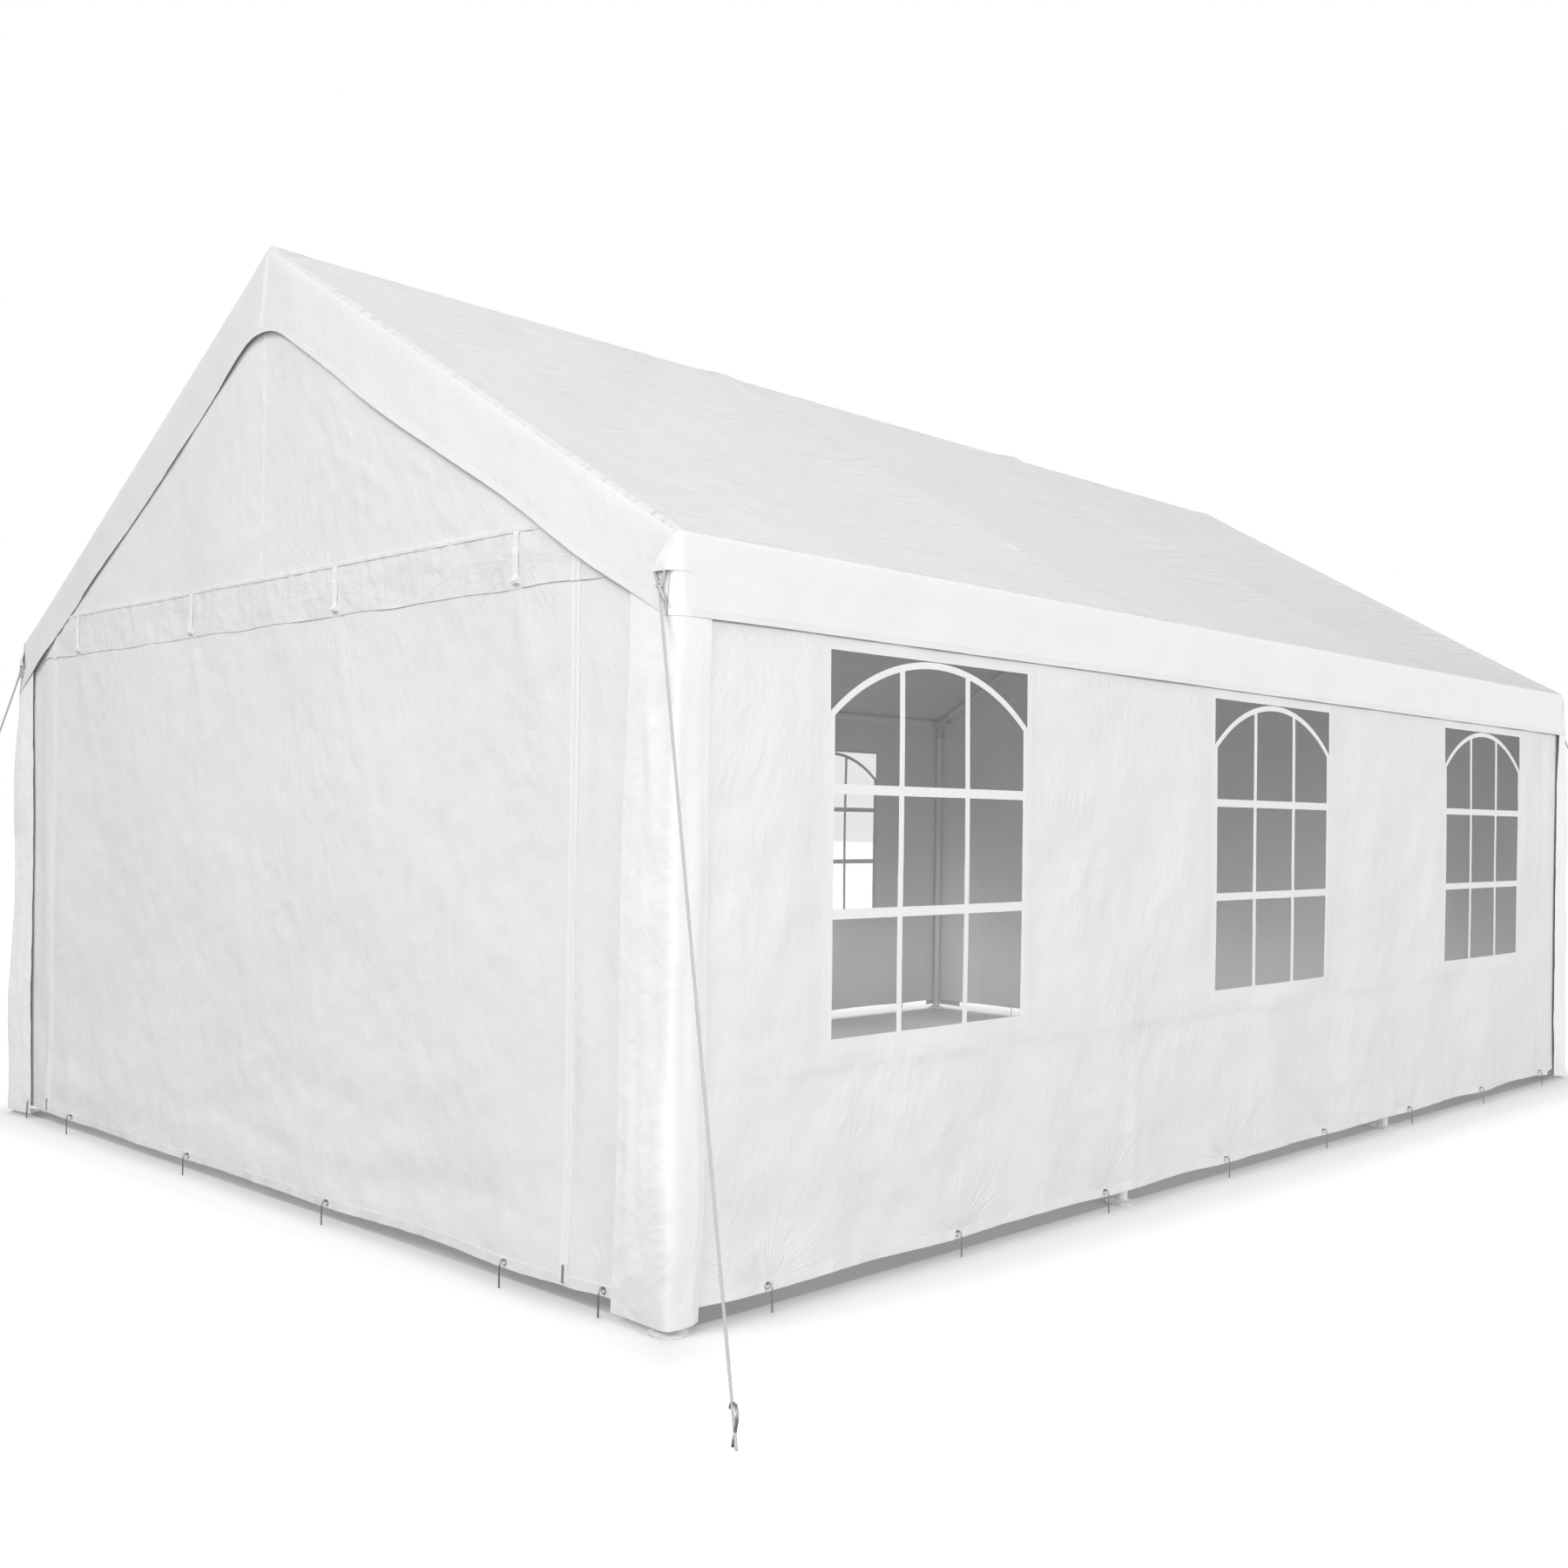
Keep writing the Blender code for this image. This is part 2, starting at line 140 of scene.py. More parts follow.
def creases(seed, length, stretch=(1.0, 1.0), layers=3):
    """Sharp little creases, as in a sheet that was packed folded, at several lengths."""
    waves = [ripples(seed + i, length / 1.9 ** i, stretch) for i in range(layers)]

    def height(u, v):
        return sum((0.8 - np.abs(wave(u, v))) / 1.7 ** i for i, wave in enumerate(waves))
    return height


def fold(start, end, width, rise, anchored=False):
    """A straight soft fold that fades at both ends, or only at its far end if it is anchored."""
    along = (end[0] - start[0], end[1] - start[1])
    length = along[0] ** 2 + along[1] ** 2

    def height(u, v):
        t = np.clip(((u - start[0]) * along[0] + (v - start[1]) * along[1]) / length, 0, 1)
        away = np.hypot(u - start[0] - t * along[0], v - start[1] - t * along[1])
        strength = (1 - t) * smooth(t / 0.06) if anchored else np.sin(math.pi * t) ** 0.7
        return rise * strength * np.exp(-(away / width) ** 2)
    return height


def random_folds(seed, count, box, angles, lengths, widths, rises):
    """Folds with middles in a box (low u, low v, high u, high v), at angles to the u axis in degrees."""
    draw = np.random.default_rng(seed)
    made = []
    for _ in range(count):
        u, v = draw.uniform(box[0], box[2]), draw.uniform(box[1], box[3])
        turn = math.radians(draw.uniform(*angles))
        half = draw.uniform(*lengths) / 2
        du, dv = half * math.cos(turn), half * math.sin(turn)
        rise = draw.uniform(*rises) * draw.choice((-1, 1))
        made.append(fold((u - du, v - dv), (u + du, v + dv), draw.uniform(*widths), rise))
    return made


def smooth(t):
    """0 to 1 with soft ends, as t goes from 0 to 1."""
    t = np.clip(t, 0, 1)
    return t * t * (3 - 2 * t)


def spread(*values):
    """Arrays of one shape, from numbers and arrays."""
    return np.broadcast_arrays(*(np.asarray(value, dtype=float) for value in values))


def pairs(u, v):
    """Rows of (u, v) from two grids."""
    return np.stack([u.ravel(), v.ravel()], axis=1)


def unit(rows):
    """Rows of vectors, each brought to a length of 1."""
    return rows / np.linalg.norm(rows, axis=1)[:, None]


def near(value, places, reach):
    """1 at any of the places, falling smoothly to 0 at reach from them."""
    return sum(1 - smooth(np.abs(value - place) / reach) for place in places)


def bay_part(y):
    """Where y lies in its bay, from 0 at one post line to 1 at the next."""
    return np.mod((y - POST_LINES[0]) / BAY, 1.0)


# Meshes

def add_object(name, data):
    item = bpy.data.objects.new(name, data)
    bpy.context.scene.collection.objects.link(item)
    return item


def add_mesh(name, points, faces, material, uv=None, shade_smooth=True):
    mesh = bpy.data.meshes.new(name)
    mesh.from_pydata([tuple(point) for point in points], [], [tuple(int(i) for i in face) for face in faces])
    mesh.materials.append(material)
    if shade_smooth:
        mesh.shade_smooth()
    if uv is not None:
        layer = mesh.uv_layers.new(name="cloth")
        corners = np.empty(len(mesh.loops), dtype=np.int32)
        mesh.loops.foreach_get("vertex_index", corners)
        layer.data.foreach_set("uv", np.asarray(uv, dtype=np.float32)[corners].ravel())
    return add_object(name, mesh)


def grid_faces(index, keep=None):
    """Faces of a grid of point numbers. keep says which cells have a face."""
    faces = np.stack([index[:-1, :-1], index[:-1, 1:], index[1:, 1:], index[1:, :-1]], axis=-1)
    return faces.reshape(-1, 4) if keep is None else faces[keep]


def grid_numbers(shape, first=0):
    """Numbers of the points of a grid that are stored row by row."""
    return first + np.arange(shape[0] * shape[1]).reshape(shape)


def ring_faces(count, sides, closed=False):
    """Faces between rings of points that are stored ring by ring, with a cap at each end of an open run."""
    index = grid_numbers((count, sides))
    start, after = (index, np.roll(index, -1, axis=0)) if closed else (index[:-1], index[1:])
    quads = np.stack([start, np.roll(start, -1, axis=1), np.roll(after, -1, axis=1), after], axis=-1)
    return [*quads.reshape(-1, 4)] + ([] if closed else [index[0][::-1], index[-1]])


def stations(breaks, step):
    """Values that hit each break and divide the stretches between them evenly."""
    values = [breaks[0]]
    for low, high in zip(breaks, breaks[1:]):
        count = max(1, round((high - low) / step))
        values += [low + (high - low) * (i + 1) / count for i in range(count)]
    return np.array(values)


def thicken(item, thickness=CLOTH, offset=-1.0):
    """Gives a sheet its thickness. Its cut edges are sharp, so that its face is shaded evenly up to them."""
    edge_of = np.empty(len(item.data.loops), dtype=np.int32)
    item.data.loops.foreach_get("edge_index", edge_of)
    uses = np.bincount(edge_of, minlength=len(item.data.edges))
    item.data.edges.foreach_set("use_edge_sharp", uses == 1)
    solid = item.modifiers.new("thickness", "SOLIDIFY")
    solid.thickness = thickness
    solid.offset = offset
    solid.use_even_offset = False
    return item


def reshaped(item, change):
    """Runs a change on a piece's mesh."""
    shape = bmesh.new()
    shape.from_mesh(item.data)
    change(shape)
    shape.to_mesh(item.data)
    shape.free()
    return item


def weld(item):
    """Joins points that lie on each other."""
    return reshaped(item, lambda shape: bmesh.ops.remove_doubles(shape, verts=shape.verts, dist=1e-5))


def outward(item):
    """Turns a closed mesh's faces outwards."""
    return reshaped(item, lambda shape: bmesh.ops.recalc_face_normals(shape, faces=shape.faces))


def place(item, slot, *nodes):
    """The piece rides on the tent and stands for the nodes named, which are hidden. Its slot is not used."""
    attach(item, "root")
    if nodes:
        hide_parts(*nodes)
    return item


def piece(name, parts, material, slot, *nodes, shade_smooth=False):
    """One piece from closed parts, each (points, faces, uv). Without a slot it is a shape to be repeated."""
    points, faces, flat, start = [], [], [], 0
    for part_points, part_faces, part_flat in parts:
        points.append(part_points)
        faces += [[int(i) + start for i in face] for face in part_faces]
        flat.append(part_flat)
        start += len(part_points)
    item = add_mesh(name, np.concatenate(points), faces, material, np.concatenate(flat), shade_smooth)
    return place(outward(item), slot, *nodes) if slot else outward(item)


def soft_piece(name, part, material, slot):
    """One closed sheet as a piece. Its faces are shaded evenly up to its rim."""
    item = piece(name, [part], material, slot, shade_smooth=True)
    item.data.set_sharp_from_angle(angle=math.radians(50))


def laid_sheet(name, surface, u, v, material, turned_over, lift=0.0, keep=None, wide=1.0, thickness=CLOTH):
    """A sheet laid on a surface over a grid of (u, v). Each unit of u is so many metres wide on the cloth."""
    faces = grid_faces(grid_numbers(u.shape), keep)
    used, faces = np.unique(faces[:, ::-1] if turned_over else faces, return_inverse=True)
    flat = pairs(u, v)[used]
    points = surface(flat[:, 0], flat[:, 1], lift)
    return thicken(add_mesh(name, points, faces.reshape(-1, 4), material, flat * (wide, 1.0)), thickness)


def headings(line, closed=False):
    """The step after and the step before each point of a line."""
    ahead = np.roll(line, -1, axis=0) - line
    behind = line - np.roll(line, 1, axis=0)
    if not closed:
        ahead[-1] = behind[-1]
        behind[0] = ahead[0]
    return ahead, behind


def band(surface, line, width, high, low=SUNK):
    """A flat strip laid on a surface along a line of (u, v) points, from lift low to lift high."""
    line = np.asarray(line, dtype=float)
    ahead, behind = (unit(way) for way in headings(line))
    side = unit((ahead + behind)[:, ::-1] * (-1, 1))
    side /= np.sum(side * ahead[:, ::-1] * (-1, 1), axis=1)[:, None]
    left, right = line + side * width / 2, line - side * width / 2
    rings = [(left, low), (right, low), (right, high), (left, high)]
    points = np.stack([surface(edge[:, 0], edge[:, 1], lift) for edge, lift in rings], axis=1)
    flat = np.stack([edge for edge, _ in rings], axis=1)
    return points.reshape(-1, 3), ring_faces(len(line), 4), flat.reshape(-1, 2)


def closed_sheet(surface, u, v, lift):
    """A sheet with both faces and a rim, laid on a surface over a grid of (u, v) with its face at lift."""
    outer, inner = (surface(u.ravel(), v.ravel(), height.ravel()) for height in (lift, lift - CLOTH))
    index, count = grid_numbers(u.shape), u.size
    rim = np.concatenate([index[0], index[1:, -1], index[-1, -2::-1], index[-2:0:-1, 0]])
    after = np.roll(rim, -1)
    faces = [grid_faces(index), grid_faces(index + count)[:, ::-1],
             np.stack([after, rim, rim + count, after + count], axis=1)]
    return np.concatenate([outer, inner]), np.concatenate(faces), np.tile(pairs(u, v), (2, 1))


def run(start, end, step=WALL_STEP):
    """Evenly spaced (u, v) points from start to end."""
    start, end = np.array(start, dtype=float), np.array(end, dtype=float)
    count = max(1, round(float(np.linalg.norm(end - start)) / step))
    return [start + (end - start) * i / count for i in range(count + 1)]


def tube(points, radius, sides=8, closed=False):
    """A round wire or cord along points, as (points, faces, uv)."""
    line = np.asarray(points, dtype=float)
    ahead, behind = headings(line, closed)
    along = unit(ahead + behind)
    side = np.cross(along[0], (0.31, 0.52, 0.79))
    turns = 2 * math.pi * np.arange(sides)[:, None] / sides
    rings = []
    for centre, heading in zip(line, along):
        side = side - heading * np.dot(side, heading)
        side /= np.linalg.norm(side)
        rings.append(centre + radius * (np.cos(turns) * side + np.sin(turns) * np.cross(heading, side)))
    rings = np.concatenate(rings)
    return rings, ring_faces(len(line), sides, closed), rings[:, [0, 2]]


def block(size, centre=(0.0, 0.0, 0.0), taper=1.0):
    """A box as (points, faces, uv), with its top narrowed by taper."""
    corners = [(x * share, y * share, z) for z, share in ((-0.5, 1.0), (0.5, taper))
               for x, y in ((-0.5, -0.5), (0.5, -0.5), (0.5, 0.5), (-0.5, 0.5))]
    points = np.array(centre) + np.array(corners) * size
    return points, ring_faces(2, 4), points[:, :2]


def turned(along, upright):
    """Turns that point a shape's X along and its Z upright, for each point."""
    x = unit(np.asarray(along, dtype=float))
    y = unit(np.cross(upright, x))
    return [Matrix(axes).transposed().to_euler() for axes in zip(x, y, np.cross(x, y))]


def on_surface(surface, line, pitch, lift):
    """Evenly spaced points and turns along a line of (u, v) points on a surface."""
    line = np.asarray(line, dtype=float)
    lengths = np.concatenate([[0], np.cumsum(np.linalg.norm(np.diff(line, axis=0), axis=1))])
    count = max(1, int(lengths[-1] / pitch))
    steps = (np.arange(count) + 0.5) * lengths[-1] / count

    def at(steps, lift):
        return surface(*(np.interp(steps, lengths, values) for values in line.T), lift)
    here = at(steps, lift)
    return here, turned(at(steps + pitch / 3, lift) - here, at(steps, lift + 0.01) - here)


def add_node(tree, kind, *values, **settings):
    """A node with values or links on its inputs, in order or by name. Other settings are the node's own."""
    node = tree.nodes.new(kind)
    named = []
    for label, value in settings.items():
        socket = node.inputs.get(label.replace("_", " ").title())
        if socket is None:
            setattr(node, label, value)
        else:
            named.append((socket, value))
    for socket, value in [*zip(node.inputs, values), *named]:
        if isinstance(value, bpy.types.NodeSocket):
            tree.links.new(value, socket)
        else:
            socket.default_value = value
    return node


OUTPUTS = {"Geometry": "Geometry", "Height": "Float", "Color": "Color"}


def node_group(name, inputs, output, kind="ShaderNodeTree"):
    """A node group, the sockets of its inputs, and the socket of its output. Inputs are {label: kind}."""
    group = bpy.data.node_groups.new(name, kind)
    for label, socket in inputs.items():
        group.interface.new_socket(name=label, in_out="INPUT", socket_type=f"NodeSocket{socket}")
    group.interface.new_socket(name=output, in_out="OUTPUT", socket_type=f"NodeSocket{OUTPUTS[output]}")
    return group, group.nodes.new("NodeGroupInput").outputs, group.nodes.new("NodeGroupOutput").inputs[0]


def build_repeat_tree():
    """Geometry nodes that set a shape on each point, with the point's own turn and a little jitter."""
    inputs = {"Points": "Geometry", "Shape": "Object", "Jitter": "Float", "Seed": "Int",
              "Material": "Material"}
    tree, given, result = node_group("set repeats", inputs, "Geometry", "GeometryNodeTree")
    own_turn = add_node(tree, "GeometryNodeInputNamedAttribute", data_type="FLOAT_VECTOR", name="turn")
    least, most = (add_node(tree, "ShaderNodeVectorMath", (sign, sign, sign), operation="SCALE",
                            scale=given["Jitter"]).outputs[0] for sign in (-1.0, 1.0))
    jitter = add_node(tree, "FunctionNodeRandomValue", data_type="FLOAT_VECTOR", min=least, max=most,
                      seed=given["Seed"])
    total = add_node(tree, "ShaderNodeVectorMath", own_turn.outputs["Attribute"], jitter.outputs["Value"])
    rotation = add_node(tree, "FunctionNodeEulerToRotation", total.outputs[0])
    shape = add_node(tree, "GeometryNodeObjectInfo", object=given["Shape"])
    copies = add_node(tree, "GeometryNodeInstanceOnPoints", points=given["Points"],
                      instance=shape.outputs["Geometry"], rotation=rotation.outputs[0])
    real = add_node(tree, "GeometryNodeRealizeInstances", copies.outputs[0])
    coloured = add_node(tree, "GeometryNodeSetMaterial", geometry=real.outputs[0], material=given["Material"])
    tree.links.new(coloured.outputs[0], result)
    return tree


REPEATS = build_repeat_tree()


def repeats(name, shape_parts, places, material, slot, jitter=0.0, seed=1):
    """Copies of one shape at all the places, each a list of points and a list of turns."""
    points = np.concatenate([spots for spots, _ in places])
    turns = [tuple(turn) for _, own in places for turn in own]
    holder = add_mesh(name + "_places", points, [], material, shade_smooth=False)
    attribute = holder.data.attributes.new("turn", "FLOAT_VECTOR", "POINT")
    attribute.data.foreach_set("vector", np.array(turns, dtype=np.float32).ravel())
    shape = piece(name + "_shape", shape_parts, material, None)
    nodes = holder.modifiers.new("repeats", "NODES")
    nodes.node_group = REPEATS
    values = {"Shape": shape, "Jitter": jitter, "Seed": seed, "Material": material}
    for socket in REPEATS.interface.items_tree:
        if socket.in_out == "INPUT" and socket.name in values:
            nodes[socket.identifier] = values[socket.name]
    bpy.context.view_layer.update()
    evaluated = holder.evaluated_get(bpy.context.evaluated_depsgraph_get())
    mesh = bpy.data.meshes.new_from_object(evaluated)
    mesh.name = name
    made = add_object(name, mesh)
    holder.modifiers.remove(nodes)
    bpy.data.objects.remove(holder)
    bpy.data.objects.remove(shape)
    place(made, slot)


# Materials

def maths(tree, operation, *values, clamp=False):
    return add_node(tree, "ShaderNodeMath", *values, operation=operation, use_clamp=clamp).outputs[0]


def noise(tree, vector, **settings):
    return add_node(tree, "ShaderNodeTexNoise", vector, **settings).outputs[0]


def build_crease_group():
    """Height in metres of the creases in a woven sheet: sharp folds, crumples, broad billows and threads."""
    inputs = {"Vector": "Vector", "Stretch": "Vector",
              **dict.fromkeys(("Turn", "Ridges", "Crumple", "Billow", "Threads"), "Float")}
    group, given, result = node_group("sheet creases", inputs, "Height")
    do = partial(maths, group)
    flat = given["Vector"]
    patches = noise(group, flat, noise_dimensions="2D", scale=1.6, detail=2.0)
    patches = do("MULTIPLY_ADD", patches, 5.0, -2.0, clamp=True)
    heights = []
    for sign, share in ((1.0, patches), (-1.0, do("SUBTRACT", 1.0, patches))):
        rotated = add_node(group, "ShaderNodeVectorRotate", rotation_type="Z_AXIS", vector=flat,
                           angle=do("MULTIPLY", given["Turn"], sign))
        drawn = add_node(group, "ShaderNodeVectorMath", rotated.outputs[0], given["Stretch"],
                         operation="MULTIPLY")
        ridged = noise(group, drawn.outputs[0], noise_dimensions="2D", noise_type="RIDGED_MULTIFRACTAL",
                       scale=22.0, detail=3.0, roughness=0.62, offset=1.0, gain=2.0)
        heights.append(do("MULTIPLY", ridged, share))
    ridges = do("MULTIPLY", do("ADD", *heights), given["Ridges"])
    crumple = noise(group, flat, noise_dimensions="2D", scale=7.0, detail=3.0)
    crumple = do("ABSOLUTE", do("SUBTRACT", crumple, 0.5))
    height = do("MULTIPLY_ADD", crumple, given["Crumple"], ridges)
    billow = noise(group, flat, noise_dimensions="2D", scale=3.2, detail=1.0)
    height = do("MULTIPLY_ADD", billow, given["Billow"], height)
    for scale in ((330.0, 14.0, 1.0), (14.0, 330.0, 1.0)):
        thread = add_node(group, "ShaderNodeMapping", vector=flat, scale=scale)
        slub = noise(group, thread.outputs[0], noise_dimensions="2D", scale=1.0, detail=0.0)
        height = do("MULTIPLY_ADD", slub, given["Threads"], height)
    group.links.new(height, result)
    return group


def build_fan_group():
    """Height in metres of the fine folds that fan out from evenly spaced points where a sheet is held."""
    labels = ("Along", "Away", "Spacing", "Offset", "Reach", "Depth", "Line")
    group, given, result = node_group("fan folds", dict.fromkeys(labels, "Float"), "Height")
    do = partial(maths, group)
    moved = do("SUBTRACT", given["Along"], given["Offset"])
    half = do("MULTIPLY", given["Spacing"], 0.5)
    local = do("WRAP", moved, half, do("MULTIPLY", half, -1.0))
    number = do("ROUND", do("DIVIDE", moved, given["Spacing"]))
    from_point = add_node(group, "ShaderNodeCombineXYZ", local, given["Away"]).outputs[0]
    distance = add_node(group, "ShaderNodeVectorMath", from_point, operation="LENGTH").outputs["Value"]
    heading = add_node(group, "ShaderNodeVectorMath", from_point, operation="NORMALIZE").outputs[0]
    drift = do("MULTIPLY_ADD", number, 7.3, do("MULTIPLY", distance, 2.0))
    drift = add_node(group, "ShaderNodeCombineXYZ", z=drift).outputs[0]
    bearing = add_node(group, "ShaderNodeVectorMath", heading, (FAN_RAYS, FAN_RAYS, FAN_RAYS), drift,
                       operation="MULTIPLY_ADD")
    rays = noise(group, bearing.outputs[0], scale=1.0, detail=2.0, roughness=0.6)
    rays = do("ABSOLUTE", do("MULTIPLY_ADD", rays, 2.0, -1.0))
    fade = do("EXPONENT", do("DIVIDE", do("MULTIPLY", distance, -1.0), given["Reach"]))
    fade = do("MULTIPLY", fade, do("DIVIDE", distance, FAN_START, clamp=True))
    folds = do("MULTIPLY", do("MULTIPLY", rays, fade), given["Depth"])
    thin = do("POWER", do("DIVIDE", local, FAN_LINE), 2.0)
    thin = do("EXPONENT", do("MULTIPLY", thin, -1.0))
    group.links.new(do("MULTIPLY_ADD", thin, given["Line"], folds), result)
    return group


def build_tone_group():
    """Cloudy variation between two colours."""
    inputs = {"Vector": "Vector", "Pale": "Color", "Deep": "Color", "Scale": "Float"}
    group, given, result = node_group("cloudy tone", inputs, "Color")
    cloud = noise(group, given["Vector"], scale=given["Scale"], detail=4.0, roughness=0.6)
    mix = add_node(group, "ShaderNodeMix", data_type="RGBA", factor=cloud, a=given["Pale"], b=given["Deep"])
    group.links.new(mix.outputs["Result"], result)
    return group


FAN_RAYS = 8.0
FAN_START = 0.08
FAN_LINE = 0.011
CREASES = build_crease_group()
FANS = build_fan_group()
TONES = build_tone_group()


def new_material(name, roughness, metallic=0.0, specular=0.5):
    """A material with its node tree and its shader."""
    material = bpy.data.materials.new(name)
    material.use_nodes = True
    tree = material.node_tree
    shader = tree.nodes["Principled BSDF"]
    shader.inputs["Roughness"].default_value = roughness
    shader.inputs["Metallic"].default_value = metallic
    shader.inputs["Specular IOR Level"].default_value = specular
    return material, tree, shader


def cloth_map(tree):
    """The piece's place on its flat cloth, in metres."""
    return add_node(tree, "ShaderNodeUVMap", uv_map="cloth").outputs["UV"]


def add_tone(tree, shader, where, pale, deep, scale):
    """Cloudy variation between two colours as the shader's base colour."""
    tone = add_node(tree, "ShaderNodeGroup", node_tree=TONES, vector=where, pale=(*pale, 1), deep=(*deep, 1),
                    scale=scale)
    tree.links.new(tone.outputs["Color"], shader.inputs["Base Color"])


def add_bump(tree, shader, height, depth=1.0):
    """Relief for the shader. depth is metres for a height of 1."""
    bump = add_node(tree, "ShaderNodeBump", strength=1.0, distance=depth, height=height)
    tree.links.new(bump.outputs["Normal"], shader.inputs["Normal"])


def sheet_material(name, pale, deep, roughness, stretch=(1.0, 0.45), turn=0.3, ridges=0.0008,
                   crumple=0.012, billow=0.0, threads=0.00008, fans=(), gloss=0.4):
    """Woven plastic sheet, with its pattern on the flat cloth. Heights are in metres.

    Each fan is the axis its points are spaced along, the axis and value of their line, and the values
    of the group. The line's axis is mirrored about 0.
    """
    material, tree, shader = new_material(name, roughness, specular=gloss)
    flat = cloth_map(tree)
    add_tone(tree, shader, flat, pale, deep, 2.6)
    crease = add_node(tree, "ShaderNodeGroup", node_tree=CREASES, vector=flat, stretch=(*stretch, 1.0),
                      turn=turn, ridges=ridges, crumple=crumple, billow=billow, threads=threads)
    height = crease.outputs["Height"]
    split = add_node(tree, "ShaderNodeSeparateXYZ", flat).outputs
    for axis, across, line, values in fans:
        away = maths(tree, "SUBTRACT", maths(tree, "ABSOLUTE", split[across]), line)
        fan = add_node(tree, "ShaderNodeGroup", node_tree=FANS, along=split[axis], away=away, **values)
        height = maths(tree, "ADD", height, fan.outputs["Height"])
    add_bump(tree, shader, height)
    return material


def solid_material(name, pale, deep, roughness, metallic=0.0, depth=0.0002, scale=30.0):
    """Coated or bare metal and plastic, with its pattern on the piece's own coordinates."""
    material, tree, shader = new_material(name, roughness, metallic)
    where = tree.nodes.new("ShaderNodeTexCoord").outputs["Object"]
    add_tone(tree, shader, where, pale, deep, scale)
    add_bump(tree, shader, noise(tree, where, scale=scale * 12, detail=2.0), depth)
    return material


def film_material():
    """Clear window film: mostly see-through, faintly grey, with slack waves in its gloss."""
    material, tree, shader = new_material("window film", 0.12)
    shader.inputs["Base Color"].default_value = (0.62, 0.64, 0.66, 1)
    shader.inputs["Alpha"].default_value = 0.10
    add_bump(tree, shader, noise(tree, cloth_map(tree), scale=9.0, detail=2.0), 0.004)
    return material


def grey(pale, deep, blue=0.0):
    """A pale and a deep grey, with a little more blue in the deep one."""
    return (pale, pale, pale), (deep, deep, deep + blue)


# Folds that fan out from where the sheets are held
AT_POSTS = {"spacing": BAY, "offset": POST_LINES[0]}
FROM_RIDGE = ("Y", "X", 0.0, {**AT_POSTS, "reach": 0.9, "depth": 0.0055, "line": 0.003})
FROM_EAVE = ("Y", "X", RAFTER + 0.012, {**AT_POSTS, "reach": 0.4, "depth": 0.0025})
FROM_TOGGLES = ("X", "Y", 1.93, {"spacing": 0.95, "offset": 0.475, "reach": 0.32, "depth": 0.0028})
FROM_PEGS = ("X", "Y", PEG_EYE_Z, {"spacing": 0.7714, "offset": -2.70, "reach": 0.20, "depth": 0.006})
FROM_VALANCE = ("X", "Y", 1.90, {"spacing": 0.62, "offset": 0.11, "reach": 0.30, "depth": 0.006})
# The roof is the same white sheet as the valances. Its greyer tone is painted shade, for slopes that the
# light only grazes.
ROOF_SHEET_SHADED = sheet_material("roof sheet", (0.736, 0.736, 0.741), (0.692, 0.692, 0.697), 0.55,
                            stretch=(0.6, 0.075), turn=0.12, ridges=0.0042, crumple=0.008, billow=0.008,
                            fans=(FROM_RIDGE, FROM_EAVE))
VALANCE_LOOK = {"ridges": 0.0005, "crumple": 0.005, "billow": 0.01, "gloss": 0.1}
VALANCE_SHEET = sheet_material("valance sheet", *grey(0.88, 0.855, 0.002), 0.75, **VALANCE_LOOK)
# The gable valances are a darker copy of the valance sheet: painted shade on the gable faces.
GABLE_VALANCE_SHADED = sheet_material("gable valance sheet", *grey(0.83, 0.805, 0.002), 0.75, **VALANCE_LOOK)
SLEEVE_SHEET = sheet_material("sleeve sheet", *grey(0.93, 0.91, 0.002), 0.8, ridges=0.0008, crumple=0.006,
                              billow=0.014, gloss=0.05)
SIDE_SHEET = sheet_material("side wall sheet", *grey(0.86, 0.82, 0.005), 0.45, ridges=0.0008, crumple=0.0042,
                            billow=0.021, fans=(FROM_PEGS, FROM_VALANCE))
GABLE_SHEET = sheet_material("gable wall sheet", *grey(0.885, 0.845, 0.005), 0.45, ridges=0.0005,
                             crumple=0.0037, billow=0.011, fans=(FROM_TOGGLES,))
# The belt is the gable's white sheet made a little darker: painted shade, where its sagging cloth faces down.
BELT_SHEET_SHADED = sheet_material("belt sheet", *grey(0.868, 0.822, 0.005), 0.45, ridges=0.0008, crumple=0.009,
                            billow=0.02, fans=(FROM_TOGGLES,))
STRIP_LOOK = {"ridges": 0.0004, "crumple": 0.002, "threads": 0.00003}
SEAM_SHEET = sheet_material("welded seam", *grey(0.87, 0.845), 0.4, **STRIP_LOOK)
ROOF_SEAM = sheet_material("canopy seam", *grey(0.845, 0.83), 0.6, gloss=0.1, **STRIP_LOOK)
ZIP_TAPE = sheet_material("zip tape", *grey(0.93, 0.91), 0.5, **STRIP_LOOK)
PRINT = solid_material("white print", *grey(0.90, 0.86), 0.4, depth=0.0001)
FILM = film_material()
COATED_STEEL = solid_material("white coated steel", *grey(0.84, 0.78), 0.32)
GALVANISED = solid_material("galvanised steel", (0.66, 0.67, 0.68), (0.46, 0.47, 0.48), 0.38, 0.85,
                            scale=90.0)
PEG_STEEL = solid_material("peg steel", *grey(0.50, 0.33), 0.4, 0.9, scale=60.0)
THREAD = solid_material("white thread", *grey(0.84, 0.76), 0.7, scale=80.0)
ZIP_COIL = solid_material("white zip coil", *grey(0.93, 0.90), 0.35, scale=80.0)
ROPE_FIBRE = solid_material("rope fibre", *grey(0.60, 0.51), 0.8, scale=200.0)
# The webbing is white, set a little brighter than real webbing: partly painted light, for light shining
# through the straps.
WEBBING_PAINTED_LIGHT = solid_material("white webbing", *grey(0.95, 0.91), 0.6, scale=150.0)

